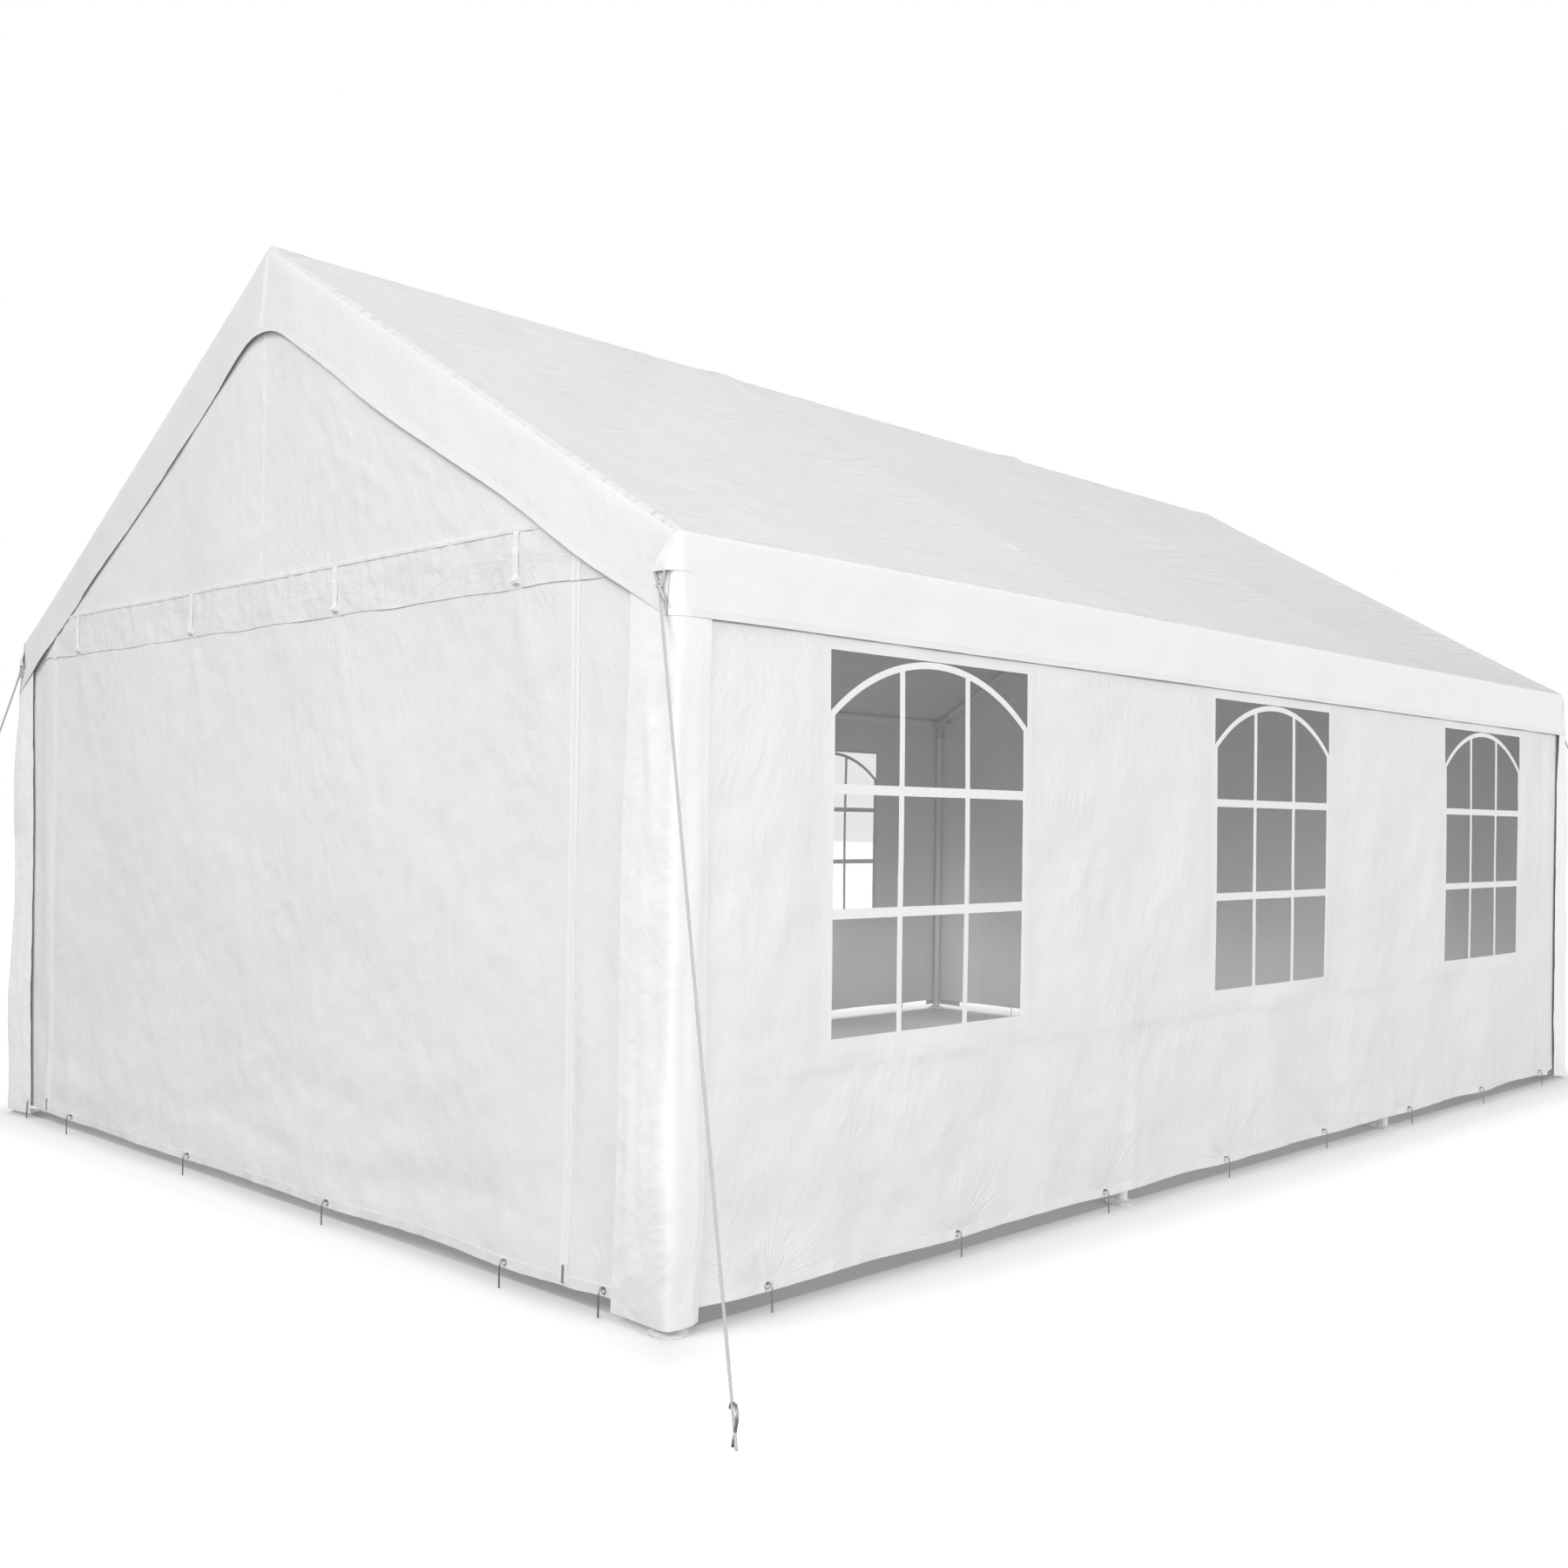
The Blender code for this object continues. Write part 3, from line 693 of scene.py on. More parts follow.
STITCH_PITCH = 0.0065
STITCH = [block((0.0042, 0.0009, 0.0008), taper=0.6)]


def stitches(name, lines, slot, seed):
    """Rows of stitches, each along a (surface, line of points, lift)."""
    threads = [on_surface(surface, line, STITCH_PITCH, lift) for surface, line, lift in lines]
    repeats(name, STITCH, threads, THREAD, slot, jitter=0.06, seed=seed)


# Canopy

RIDGE_ARC = CANOPY_REACH * PITCH
SLOPE_END = RIDGE_ARC + RAFTER
EAVE_ARC_END = SLOPE_END + CANOPY_REACH * (math.pi / 2 - PITCH)
HALF_GIRTH = EAVE_ARC_END + EAVE_Z - VALANCE_Z
VALANCE_ROWS = 9
LAST_FOLD = math.radians(80)
SAG = 0.070


def girth_frame(s):
    """Axis point, outward direction and drop at a distance along the canopy's girth from the ridge."""
    a = np.abs(s)
    sign = np.where(s < 0, -1.0, 1.0)
    t = np.clip((a - RIDGE_ARC) / RAFTER, 0, 1)
    down = np.clip(a - EAVE_ARC_END, 0, None)
    turn = np.clip((a - SLOPE_END) / CANOPY_REACH, 0, math.pi / 2 - PITCH)
    turn = math.pi / 2 - np.minimum(a / CANOPY_REACH, PITCH) - turn
    axis_z = RIDGE_Z - (RIDGE_Z - EAVE_Z) * t - down
    return sign * HALF_WIDTH * t, axis_z, sign * np.cos(turn), np.sin(turn), down / (EAVE_Z - VALANCE_Z)


def flare(drop, hem):
    """How far a valance stands out at a part of its drop, up to hem at the bottom."""
    return np.where(drop < 0.2, 0.0225 * drop, 0.0045 + (hem - 0.0045) * (drop - 0.2) / 0.8)


def roof_folds():
    """Tension folds that fan out from the ridge and eave fittings, and long fine ones along the slope."""
    draw = np.random.default_rng(7)
    made = []
    for side in SIDES:
        for line in POST_LINES:
            for root, way, count, reaches, spread_to, rises in (
                    (RIDGE_ARC, 1, 9, (0.5, 1.8), 1.0, (0.002, 0.0045)),
                    (SLOPE_END, -1, 6, (0.3, 1.1), 1.3, (0.0012, 0.0028))):
                for _ in range(count):
                    reach, turn = draw.uniform(*reaches), draw.uniform(-spread_to, spread_to)
                    end = (side * (root + way * reach * math.cos(turn)), line + reach * math.sin(turn))
                    width, rise = draw.uniform(0.022, 0.04), draw.uniform(*rises)
                    made.append(fold((side * root, line), end, width, rise, True))
    box = (-SLOPE_END, -HALF_LENGTH, SLOPE_END, HALF_LENGTH)
    return made + random_folds(11, 70, box, (76, 104), (0.6, 2.0), (0.022, 0.04), (0.0012, 0.003))


ROOF_FOLDS = roof_folds()
ROOF_RIPPLES = ripples(21, 0.55, (1.0, 1.6))
ROOF_CREASES = creases(31, 0.22, (1.0, 1.8))
HEM_WAVES = ripples(41, 0.42, (1.0, 1.0))
HEM_SWING = ripples(43, 1.5)


def corner_calm(y):
    """0 at the tent's corners and 1 away from them, so that the sheets meet there."""
    return smooth((HALF_LENGTH + 0.02 - np.abs(y)) / 0.35)


def canopy_relief(s, y, drop):
    """How far the canopy stands off the even surface over the frame."""
    reach = np.abs(s)
    t = np.clip((reach - RIDGE_ARC) / RAFTER, 0, 1)
    on_roof = 1 - smooth((reach - SLOPE_END + 0.05) / 0.09)
    part = bay_part(y)
    slack = (4 * part * (1 - part)) ** 0.8 * np.sin(math.pi * t) ** 0.7
    inside = smooth((HALF_LENGTH - np.abs(y)) / 0.08)
    on_fitting = near(y, POST_LINES, 0.16) * near(t, (0, 1), 0.09)
    pulled_in = -(CANOPY_REACH - TUBE - 2 * CLOTH) * (1 - on_fitting) * on_roof
    bolts = 0.005 * near(y, POST_LINES[1:-1], 0.09) * near(t, (0,), 0.05)
    soft = 0.0035 * ROOF_RIPPLES(s, y) * slack ** 0.5
    fine = 0.0010 * ROOF_CREASES(s, y) * smooth(slack * 3)
    folds = sum(one(s, y) for one in ROOF_FOLDS)
    roof = pulled_in + bolts + on_roof * inside * (soft + fine + folds - SAG * slack)
    wave = 0.005 + 0.004 * np.tanh(HEM_WAVES(y, s * 0.3)) + 0.004 * np.tanh(HEM_SWING(y, s))
    hem = drop * corner_calm(y) * wave + 0.0008 * ROOF_CREASES(s, y) * smooth(drop * 5) * corner_calm(y)
    return roof + hem


def canopy_surface(s, y, lift=0.0):
    """Points on the roof and side valances. Past the end posts the sheet turns down over the rafters."""
    s, y = spread(s, y)
    axis_x, axis_z, out_x, out_z, drop = girth_frame(s)
    over = np.clip((np.abs(y) - HALF_LENGTH) / CANOPY_REACH, 0, LAST_FOLD)
    reach = CANOPY_REACH + flare(drop, 0.016) + canopy_relief(s, y, drop) + lift
    x = axis_x + out_x * reach * np.cos(over)
    z = axis_z + out_z * reach * np.cos(over)
    along = np.clip(y, -HALF_LENGTH, HALF_LENGTH) + np.sign(y) * reach * np.sin(over)
    return np.stack([x, along, z], axis=-1)


def rake_z(x):
    """Height at which a gable valance turns down from the roof."""
    return RIDGE_Z - np.abs(x) * math.tan(PITCH) + CANOPY_REACH * 0.2


def valance_edge_z(x):
    """Lower edge of a gable valance, rounded under the ridge."""
    reach = np.abs(x)
    slope = (GABLE_PEAK_Z - VALANCE_Z) / HALF_WIDTH
    rounded = (reach ** 2 + PEAK_ROUNDING ** 2) / (2 * PEAK_ROUNDING)
    z = GABLE_PEAK_Z - slope * np.where(reach > PEAK_ROUNDING, reach, rounded)
    wave = 0.007 * GABLE_HEM(x, 0.0) * smooth((HALF_WIDTH - reach) / 0.4)
    return np.maximum(z, VALANCE_Z) + wave


GABLE_HEM = ripples(51, 1.1)
GABLE_WAVES = ripples(53, 0.5, (1.0, 2.5))
GABLE_SWING = ripples(55, 1.6)


def gable_valance_surface(end):
    """Points on a gable valance at x and a part of the drop from the rake."""
    def surface(x, drop, lift=0.0):
        x, drop = spread(x, drop)
        top = rake_z(x)
        z = top + (valance_edge_z(x) - top) * drop
        calm = smooth((HALF_WIDTH + 0.01 - np.abs(x)) / 0.35)
        close = smooth((1.80 - np.abs(x)) / 0.30) * smooth(0.5 + x * end)
        hem = 0.016 + (0.001 + 0.011 * smooth(0.5 - x * end)) * calm - 0.011 * close
        wave = np.tanh(GABLE_WAVES(x * end, z)) + np.tanh(GABLE_SWING(x * end, z))
        soft = drop * calm * (0.005 + (0.004 - 0.002 * close) * wave)
        fine = 0.0008 * ROOF_CREASES(x * 1.3, z + end)
        reach = CANOPY_REACH + flare(drop, hem) + soft + fine * smooth(drop * 4) + lift
        return np.stack([x, end * (HALF_LENGTH + reach), z], axis=-1)
    return surface


def canopy_seams():
    """Stitched hems of the four valances, the pale seam at each gable's peak, and their threads."""
    hem, lines, parts, peaks = 0.020, [], [], []
    reach, width = HALF_LENGTH - 0.01, HALF_WIDTH - 0.02
    for side in SIDES:
        edge, inner = (side * (HALF_GIRTH - away) for away in (hem / 2 + 0.001, hem - 0.003))
        parts.append(band(canopy_surface, run((edge, -reach), (edge, reach), STEP), hem, 0.0007))
        lines.append((canopy_surface, run((inner, -reach), (inner, reach), STEP), 0.0009))
    for end in ENDS:
        surface = hung_from_rake(end)
        x = stations([-width, -PEAK_ROUNDING, PEAK_ROUNDING, width], STEP)
        low = valance_depth(x)
        parts.append(band(surface, pairs(x, low - hem / 2 - 0.001), hem, 0.0007))
        lines.append((surface, pairs(x, low - hem + 0.003), 0.0009))
        foot = float(valance_depth(0.0)) - hem
        peaks.append(band(surface, run((0, 0.006), (0, foot), 0.01), 0.022, 0.0016))
        for offset in (-0.007, 0.007):
            lines.append((surface, run((offset, 0.008), (offset, foot), 0.01), 0.0018))
    seams = piece("canopy_seams", parts, ROOF_SEAM, "canopy_sheet")
    piece("canopy_peak_seams", peaks, ZIP_TAPE, "canopy_sheet")
    stitches("canopy_stitches", lines, "canopy_sheet", 3)
    return seams


def valance_depth(x):
    """How far a gable valance hangs below the rake at x."""
    return rake_z(x) - valance_edge_z(x)


def hung_from_rake(end):
    """The gable valance at x and a distance below the rake, in metres."""
    surface = gable_valance_surface(end)

    def at(x, fallen, lift=0.0):
        return surface(x, fallen / valance_depth(x), lift)
    return at


def roof_canopy():
    """One sheet: roof, side valances, and gable valances hung from the folded ends."""
    slope = stations([0.0, RIDGE_ARC, SLOPE_END], STEP)
    arcs = SLOPE_END + CANOPY_REACH * (math.pi / 2 - PITCH) * np.array([0.25, 0.5, 0.75, 1.0])
    drops = EAVE_ARC_END + (EAVE_Z - VALANCE_Z) * np.arange(1, VALANCE_ROWS + 1) / VALANCE_ROWS
    half = np.concatenate([slope, arcs, drops])
    girth = np.concatenate([-half[:0:-1], half])
    turns = CANOPY_REACH * np.radians([20, 40, 60, 80])
    length = stations([-HALF_LENGTH] + POST_LINES[1:], STEP)
    length = np.concatenate([-HALF_LENGTH - turns[::-1], length, HALF_LENGTH + turns])
    s, y = np.meshgrid(girth, length)
    roof, columns = grid_numbers(s.shape), len(girth)
    points, flat, faces = [canopy_surface(s.ravel(), y.ravel())], [pairs(s, y)], [grid_faces(roof)]
    total = s.size
    inner = slice(VALANCE_ROWS + 1, columns - VALANCE_ROWS - 1)
    drop = np.arange(1, VALANCE_ROWS + 1)[:, None] / VALANCE_ROWS
    for end in ENDS:
        row = 0 if end < 0 else -1
        top = roof[row]
        middle_columns = len(girth[inner])
        index = np.empty((VALANCE_ROWS + 1, middle_columns + 2), dtype=int)
        index[:, 0] = top[VALANCE_ROWS::-1]
        index[:, -1] = top[columns - 1 - VALANCE_ROWS:]
        index[0, 1:-1] = top[inner]
        index[1:, 1:-1] = grid_numbers((VALANCE_ROWS, middle_columns), total)
        rake = points[0][top[inner]]
        hung = gable_valance_surface(end)(rake[None, :, 0], drop)
        fallen = hung[..., 2] - rake[None, :, 2]
        points.append(hung.reshape(-1, 3))
        flat.append(pairs(*np.broadcast_arrays(girth[inner][None, :], length[row] - end * fallen)))
        faces.append(grid_faces(index)[:, ::end])
        total += VALANCE_ROWS * middle_columns
    points, flat, faces = np.concatenate(points), np.concatenate(flat), np.concatenate(faces)
    item = add_mesh("roof_canopy_sheet", points, faces, ROOF_SHEET_SHADED, flat)
    item.data.materials.append(VALANCE_SHEET)
    item.data.materials.append(GABLE_VALANCE_SHADED)
    # Painted shade: the gable valances take their darker copy. The roof's greyer tone runs halfway round the
    # eave's rounding and most of the way round the rake's, where these roundings would catch highlights.
    middle_at = np.abs(flat[faces]).mean(axis=1)
    on_side = middle_at[:, 0] > (SLOPE_END + EAVE_ARC_END) / 2
    on_gable = middle_at[:, 1] > HALF_LENGTH + CANOPY_REACH * LAST_FOLD * np.where(on_side, 1.0, 0.7)
    item.data.polygons.foreach_set("material_index", np.where(on_gable, 2, on_side).astype(np.int32))
    seams = canopy_seams()
    place(thicken(item), "canopy_sheet", "roof_canopy")


# Long walls and their windows

def windows_of(side):
    """Left, right, low and high edges in (y, z) of each window of a long wall."""
    boxes = [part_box(f"{SIDES[side]}_window_film_{number}") for number in range(1, BAYS + 1)]
    return [(low.y + FILM_LAP, high.y - FILM_LAP, low.z + FILM_LAP, high.z - FILM_LAP) for low, high in boxes]


def wall_folds(seed):
    """Small folds all over a long wall, some long upright ones, and those at its posts and pegs."""
    made = random_folds(seed, 90, (-2.9, 0.1, 2.9, 1.8), (30, 150), (0.12, 0.5), (0.018, 0.04),
                        (0.001, 0.0026))
    made += random_folds(seed + 1, 10, (-2.8, 0.2, 2.8, 1.5), (75, 105), (0.5, 1.3), (0.04, 0.07),
                         (0.002, 0.004))
    for line in POST_LINES[1:-1]:
        made.append(fold((line + 0.01, 0.06), (line, 0.75), 0.020, 0.007, True))
        made.append(fold((line - 0.03, 0.05), (line - 0.25, 0.35), 0.022, -0.003, True))
        made.append(fold((line + 0.04, 0.05), (line + 0.3, 0.30), 0.022, -0.003, True))
    for peg in SIDE_PEGS:
        made.append(fold((peg, PEG_EYE_Z), (peg + 0.05, 0.36), 0.024, 0.003, True))
        made.append(fold((peg, PEG_EYE_Z), (peg - 0.16, 0.20), 0.022, -0.0025, True))
    return made


def near_windows(side, reach=0.08):
    """1 on a window of the wall, falling smoothly to 0 at reach from it."""
    edges = windows_of(side)

    def cover(y, z):
        covers = [1 - smooth(np.maximum.reduce([left - y, y - right, low - z, z - high]) / reach)
                  for left, right, low, high in edges]
        return np.maximum.reduce(covers)
    return cover


def side_relief(side):
    """How far a long wall stands off its flat face at (y, z). It is pressed flat behind the valance."""
    soft = ripples(60 + side, 0.7, (1.0, 1.8))
    small = creases(70 + side, 0.2)
    folds = wall_folds(80 + side)
    cover = near_windows(side)

    def relief(y, z):
        up = np.clip((z - WALL_HEM_Z) / (WALL_TOP_Z - WALL_HEM_Z), 0, 1)
        slack = (0.35 + 0.65 * smooth((1 - up) * 2.2)) * (1 - 0.8 * cover(y, z))
        bulge = 0.008 * np.sin(math.pi * bay_part(y)) * np.sin(math.pi * up)
        hem = 0.007 * smooth((0.20 - z) / 0.16)
        seam = -0.0016 * smooth((SEAM_Z + SEAM_HALF - z) / (2 * SEAM_HALF))
        waves = 0.0050 * soft(y, z) + 0.0016 * small(y, z)
        total = bulge + hem + seam + slack * (waves + sum(one(y, z) for one in folds))
        total = np.maximum(0.0075 + total, 0.0005)
        behind = 1 - smooth((z - VALANCE_Z + 0.03) / 0.09)
        end = smooth((WALL_END - 0.06 - np.abs(y)) / 0.12)
        recess = -0.005 * smooth((y - 2.66) / 0.03)
        return (0.0005 + total * behind) * end + recess * behind
    return relief


def side_surface(side):
    """Points on a long wall at (y, z)."""
    relief = side_relief(side)

    def surface(y, z, lift=0.0):
        y, z = spread(y, z)
        x = side * (HALF_WIDTH + WALL_FACE + relief(y, z) + lift)
        return np.stack([x, y, z + hem_rise(y, z, SIDE_PEGS)], axis=-1)
    return surface


def hem_rise(u, z, pegs):
    """How much the hem hangs higher between its pegs."""
    between = 1 - near(u, pegs, 0.30)
    return 0.004 * between * (1 - smooth((z - WALL_HEM_Z) / 0.25))


def side_wall(side):
    """A long wall with three windows cut out, and its film, print, welds and hem."""
    name = SIDES[side]
    surface = side_surface(side)
    windows = windows_of(side)
    across = stations([-WALL_END, *(edge for window in windows for edge in window[:2]), WALL_END], WALL_STEP)
    seam = [SEAM_Z - SEAM_HALF, SEAM_Z + SEAM_HALF]
    upward = stations([WALL_HEM_Z, *seam, *windows[0][2:], WALL_TOP_Z], WALL_STEP)
    mid_y, mid_z = (across[:-1] + across[1:]) / 2, (upward[:-1] + upward[1:]) / 2
    keep = np.ones((len(mid_z), len(mid_y)), dtype=bool)
    for left, right, low, high in windows:
        keep &= ~(((mid_y > left) & (mid_y < right))[None, :] & ((mid_z > low) & (mid_z < high))[:, None])
    grid = np.meshgrid(across, upward)
    wall = laid_sheet(f"{name}_wall_sheet", surface, *grid, SIDE_SHEET, side < 0, keep=keep)
    place(wall, "wall_sheet", f"{name}_side_wall")
    seams = wall_seams(name, surface, windows)
    for number, edges in enumerate(windows, 1):
        window_film(name, number, surface, edges)
    window_prints(name, surface, windows)


def wall_seams(name, surface, windows):
    """Weld frames round the windows, hems, and rows of stitches along them."""
    parts, lines = [], []
    weld_width, sill = 0.026, 0.045
    outer = weld_width - 0.003
    for left, right, low, high in windows:
        for edge in (left - weld_width / 2, right + weld_width / 2):
            parts.append(band(surface, run((edge, high), (edge, low)), weld_width, 0.0007))
        for z, width in ((high + weld_width / 2, weld_width), (low - sill / 2, sill)):
            line = run((left - weld_width, z), (right + weld_width, z))
            parts.append(band(surface, line, width, 0.0009))
        for edge in (left - outer, right + outer):
            lines.append(run((edge, low - sill), (edge, high + outer)))
        lines.append(run((left - outer, low - sill + 0.004), (right + outer, low - sill + 0.004)))
    for z, width in ((WALL_HEM_Z + 0.014, 0.028), (WALL_TOP_Z - 0.015, 0.030)):
        parts.append(band(surface, run((-WALL_END, z), (WALL_END, z)), width, 0.0008))
    reach = WALL_END - 0.01
    for z in (WALL_HEM_Z + 0.025, SEAM_Z + 0.010):
        lines.append(run((-reach, z), (reach, z)))
    seams = piece(f"{name}_wall_seams", parts, SEAM_SHEET, "wall_sheet")
    stitches(f"{name}_wall_stitches", [(surface, line, 0.0009) for line in lines], "wall_sheet", 5)
    return seams


def window_film(name, number, surface, edges):
    """The clear film behind a window's opening, which laps over the wall all round."""
    left, right, low, high = edges
    lap, step, thin = 0.012, 0.03, 0.0004
    grid = np.meshgrid(stations([left - lap, right + lap], step), stations([low - lap, high + lap], step))
    film = laid_sheet(f"{name}_window_{number}_film", surface, *grid, FILM, name != "right", -CLOTH - thin,
                      thickness=thin)
    place(film, "window_film", f"{name}_window_film_{number}")


def window_prints(name, surface, windows):
    """White bars printed on the film: an arch, two side strips, two uprights and two crossbars."""
    strip, upright_bar, cross_bar, arch_bar = 0.020, 0.021, 0.027, 0.019
    arch_rise, crossbars_at, below = 0.165, (0.357, 0.680), 0.004
    low_lift, high_lift, apart = -CLOTH - 0.0002, -CLOTH + 0.0003, 0.00003
    parts = []
    for left, right, low, high in windows:
        half, middle_y = (right - left) / 2, (left + right) / 2
        radius = (half ** 2 + arch_rise ** 2) / (2 * arch_rise)
        centre_z = high - radius - arch_bar * 0.6
        limit = math.asin(half / radius)
        arch = [(middle_y + radius * math.sin(turn), centre_z + radius * math.cos(turn))
                for turn in np.linspace(-limit, limit, 40)]
        lines = [(arch, arch_bar)]
        for edge in (left + strip / 2 - 0.002, right - strip / 2 + 0.002):
            lines.append((run((edge, low - below), (edge, arch[0][1])), strip))
        for third in (-1, 1):
            y = middle_y + third * half / 3
            top = centre_z + math.sqrt(radius ** 2 - (y - middle_y) ** 2)
            lines.append((run((y, low - below), (y, top)), upright_bar))
        for share in crossbars_at:
            z = high - share * (high - low)
            lines.append((run((left, z), (right, z)), cross_bar))
        for i, (line, width) in enumerate(lines):
            parts.append(band(surface, line, width, high_lift + i * apart, low_lift))
    piece(f"{name}_window_print", parts, PRINT, "window_film")


# Gable walls and doors

def gable_half(z):
    """Half width of a gable wall at a height."""
    return np.minimum(HALF_WIDTH, (GABLE_TOP_Z - z) / math.tan(PITCH))


def gable_relief(end):
    """How far a gable stands off its flat face at (x, z): folds, a loose hem, and calm zips."""
    soft = ripples(90 + end, 0.8, (1.0, 1.7))
    small = creases(94 + end, 0.17)
    upright = ripples(98 + end, 0.26, (0.5, 3.5))
    folds = random_folds(102 + end, 90, (-1.6, 0.15, 1.6, 2.7), (10, 170), (0.1, 0.45), (0.018, 0.035),
                         (0.001, 0.0024))
    folds += random_folds(112 + end, 12, (-1.5, 0.1, 1.5, 0.5), (-12, 12), (0.5, 1.4), (0.03, 0.06),
                          (0.002, 0.004))
    for peg in GABLE_PEGS:
        folds.append(fold((peg, 0.05), (peg - 0.1, 0.5), 0.03, 0.004, True))
        folds.append(fold((peg, 0.05), (peg + 0.16, 0.35), 0.03, -0.003, True))
    for toggle in TOGGLE_X:
        for lean, fallen, rise in ((-0.42, 0.75, 0.004), (-0.16, 0.95, -0.003), (-0.30, 0.40, -0.003),
                                   (0.12, 0.60, 0.003), (0.30, 0.85, 0.004), (0.36, 0.30, -0.003)):
            folds.append(fold((toggle, BELT_LOW), (toggle + lean, BELT_LOW - fallen), 0.026, rise, True))

    def relief(x, z):
        x = -x * end
        strip = smooth((np.abs(x) - DOOR_HALF + 0.02) / 0.06) * smooth((1.80 - z) / 0.25)
        hang = smooth((BELT_LOW - z) / 0.6)
        at_zip = near(np.abs(x), (DOOR_HALF,), 0.10)
        bulge = 0.008 * np.cos(np.clip(x / DOOR_HALF, -1, 1) * math.pi / 2)
        bulge = bulge * np.sin(math.pi * np.clip(z / 1.9, 0, 1))
        skirt = 0.012 * smooth((0.32 - z) / 0.28)
        waves = 0.005 * soft(x, z) + 0.0014 * small(x, z) + 0.0045 * upright(x, z) * strip
        waves = waves + sum(one(x, z) for one in folds)
        total = bulge * hang + skirt + waves * (1 - 0.85 * at_zip)
        total = np.maximum(0.0065 + total, 0.0005)
        behind = smooth((valance_edge_z(x) - z + 0.05) / 0.14)
        edge = 0.12 + 0.88 * smooth((HALF_WIDTH - 0.19 - np.abs(x)) / 0.12)
        return (0.0004 + total * behind) * edge
    return relief


def gable_surface(end):
    """Points on a gable at (x, z)."""
    relief = gable_relief(end)

    def surface(x, z, lift=0.0):
        x, z = spread(x, z)
        y = end * (HALF_LENGTH + WALL_FACE + relief(x, z) + lift)
        return np.stack([x, y, z + hem_rise(-x * end, z, GABLE_PEGS)], axis=-1)
    return surface


def gable_wall(end):
    """The fixed part of a gable: a strip beside each zip, and everything over the door."""
    name = ENDS[end]
    surface = gable_surface(end)
    peak = GABLE_TOP_Z - 0.01
    grids = [np.meshgrid(stations(sorted([side * DOOR_HALF, side * HALF_WIDTH]), WALL_STEP),
                         stations([WALL_HEM_Z, GABLE_JOINT_Z], WALL_STEP)) for side in SIDES]
    door = DOOR_HALF / HALF_WIDTH
    u, z = np.meshgrid(stations([-1.0, -door, door, 1.0], WALL_STEP / HALF_WIDTH),
                       stations([GABLE_JOINT_Z, BELT_HIGH, peak], WALL_STEP))
    grids.append((u * gable_half(z), z))
    faces, start = [], 0
    for x, z in grids:
        faces.append(grid_faces(grid_numbers(x.shape, start)))
        start += x.size
    flat, faces = np.concatenate([pairs(x, z) for x, z in grids]), np.concatenate(faces)[:, ::-end]
    wall = add_mesh(f"{name}_gable_sheet", surface(flat[:, 0], flat[:, 1]), faces, GABLE_SHEET, flat)
    place(thicken(weld(wall)), "wall_sheet", f"{name}_gable_wall")
    seams = gable_seams(name, surface)


def door_sheet(end):
    """The roll-up door between the two zips, shown closed."""
    name = ENDS[end]
    edge = DOOR_HALF - 0.0005
    grid = np.meshgrid(stations([-edge, edge], WALL_STEP), stations([WALL_HEM_Z, GABLE_JOINT_Z], WALL_STEP))
    door = laid_sheet(f"{name}_door_sheet", gable_surface(end), *grid, GABLE_SHEET, end > 0, 0.0004)
    place(door, "wall_sheet", f"{name}_door_panel")


def belt(surface, end):
    """The doubled belt across the gable, under which the door is sewn on. It puckers at its seams."""
    toggles_at = TOGGLE_X * -end
    u, up = np.meshgrid(stations([-1.0, 1.0], 0.0065), np.linspace(0, 1, 11))
    x = u * (gable_half(BELT_HIGH) - 0.003)
    wobble = ripples(121, 0.30)(x, 0.0) * (1 - up)
    z = BELT_LOW + (BELT_HIGH - BELT_LOW) * up + 0.0016 * wobble
    sag, pucker = creases(120, 0.11), ripples(122, 0.055, (1.0, 3.0))
    folds = [fold((toggle, BELT_HIGH - 0.01), (toggle + lean, BELT_LOW + 0.01), 0.013, rise, True)
             for toggle in toggles_at
             for lean, rise in ((-0.15, 0.004), (0.13, 0.004), (0.05, -0.002), (-0.06, -0.002))]
    open_hem = (1 - up) ** 2 * (0.0014 + 0.0014 * smooth(ripples(123, 0.5)(x, 0.0)))
    bumps = (0.0014 * sag(x, z) + sum(one(x, z) for one in folds)) * np.sin(math.pi * up)
    bumps = np.maximum(bumps + 0.0006 * pucker(x, z) * smooth(up * 4), -0.0010)
    bumps = (bumps + open_hem) * (1 - near(x, toggles_at, 0.04))
    return closed_sheet(surface, x, z, 0.0014 + 0.0006 * up + bumps)


def gable_seams(name, surface):
    """Hem, the seam over the belt and the pale seam up to the peak, with their stitches."""
    hem, seam_top = WALL_HEM_Z + 0.014, 2.95
    reach, half_high = HALF_WIDTH - 0.004, float(gable_half(BELT_HIGH)) - 0.01
    over_belt = run((-half_high, BELT_HIGH), (half_high, BELT_HIGH))
    lines = [(surface, run((-reach, hem + 0.011), (reach, hem + 0.011)), 0.0013),
             (surface, over_belt, 0.0048), (surface, run((0, BELT_HIGH + 0.010), (0, seam_top)), 0.0016)]
    stitches(f"{name}_gable_stitches", lines, "wall_sheet", 7)
    middle_seam = band(surface, run((0, BELT_HIGH + 0.006), (0, seam_top)), 0.009, 0.0014)
    piece(f"{name}_gable_middle_seam", [middle_seam], ZIP_TAPE, "wall_sheet")
    parts = [band(surface, run((-reach, hem), (reach, hem)), 0.028, 0.0012),
             band(surface, over_belt, 0.010, 0.0046)]
    return piece(f"{name}_gable_seams", parts, SEAM_SHEET, "wall_sheet")


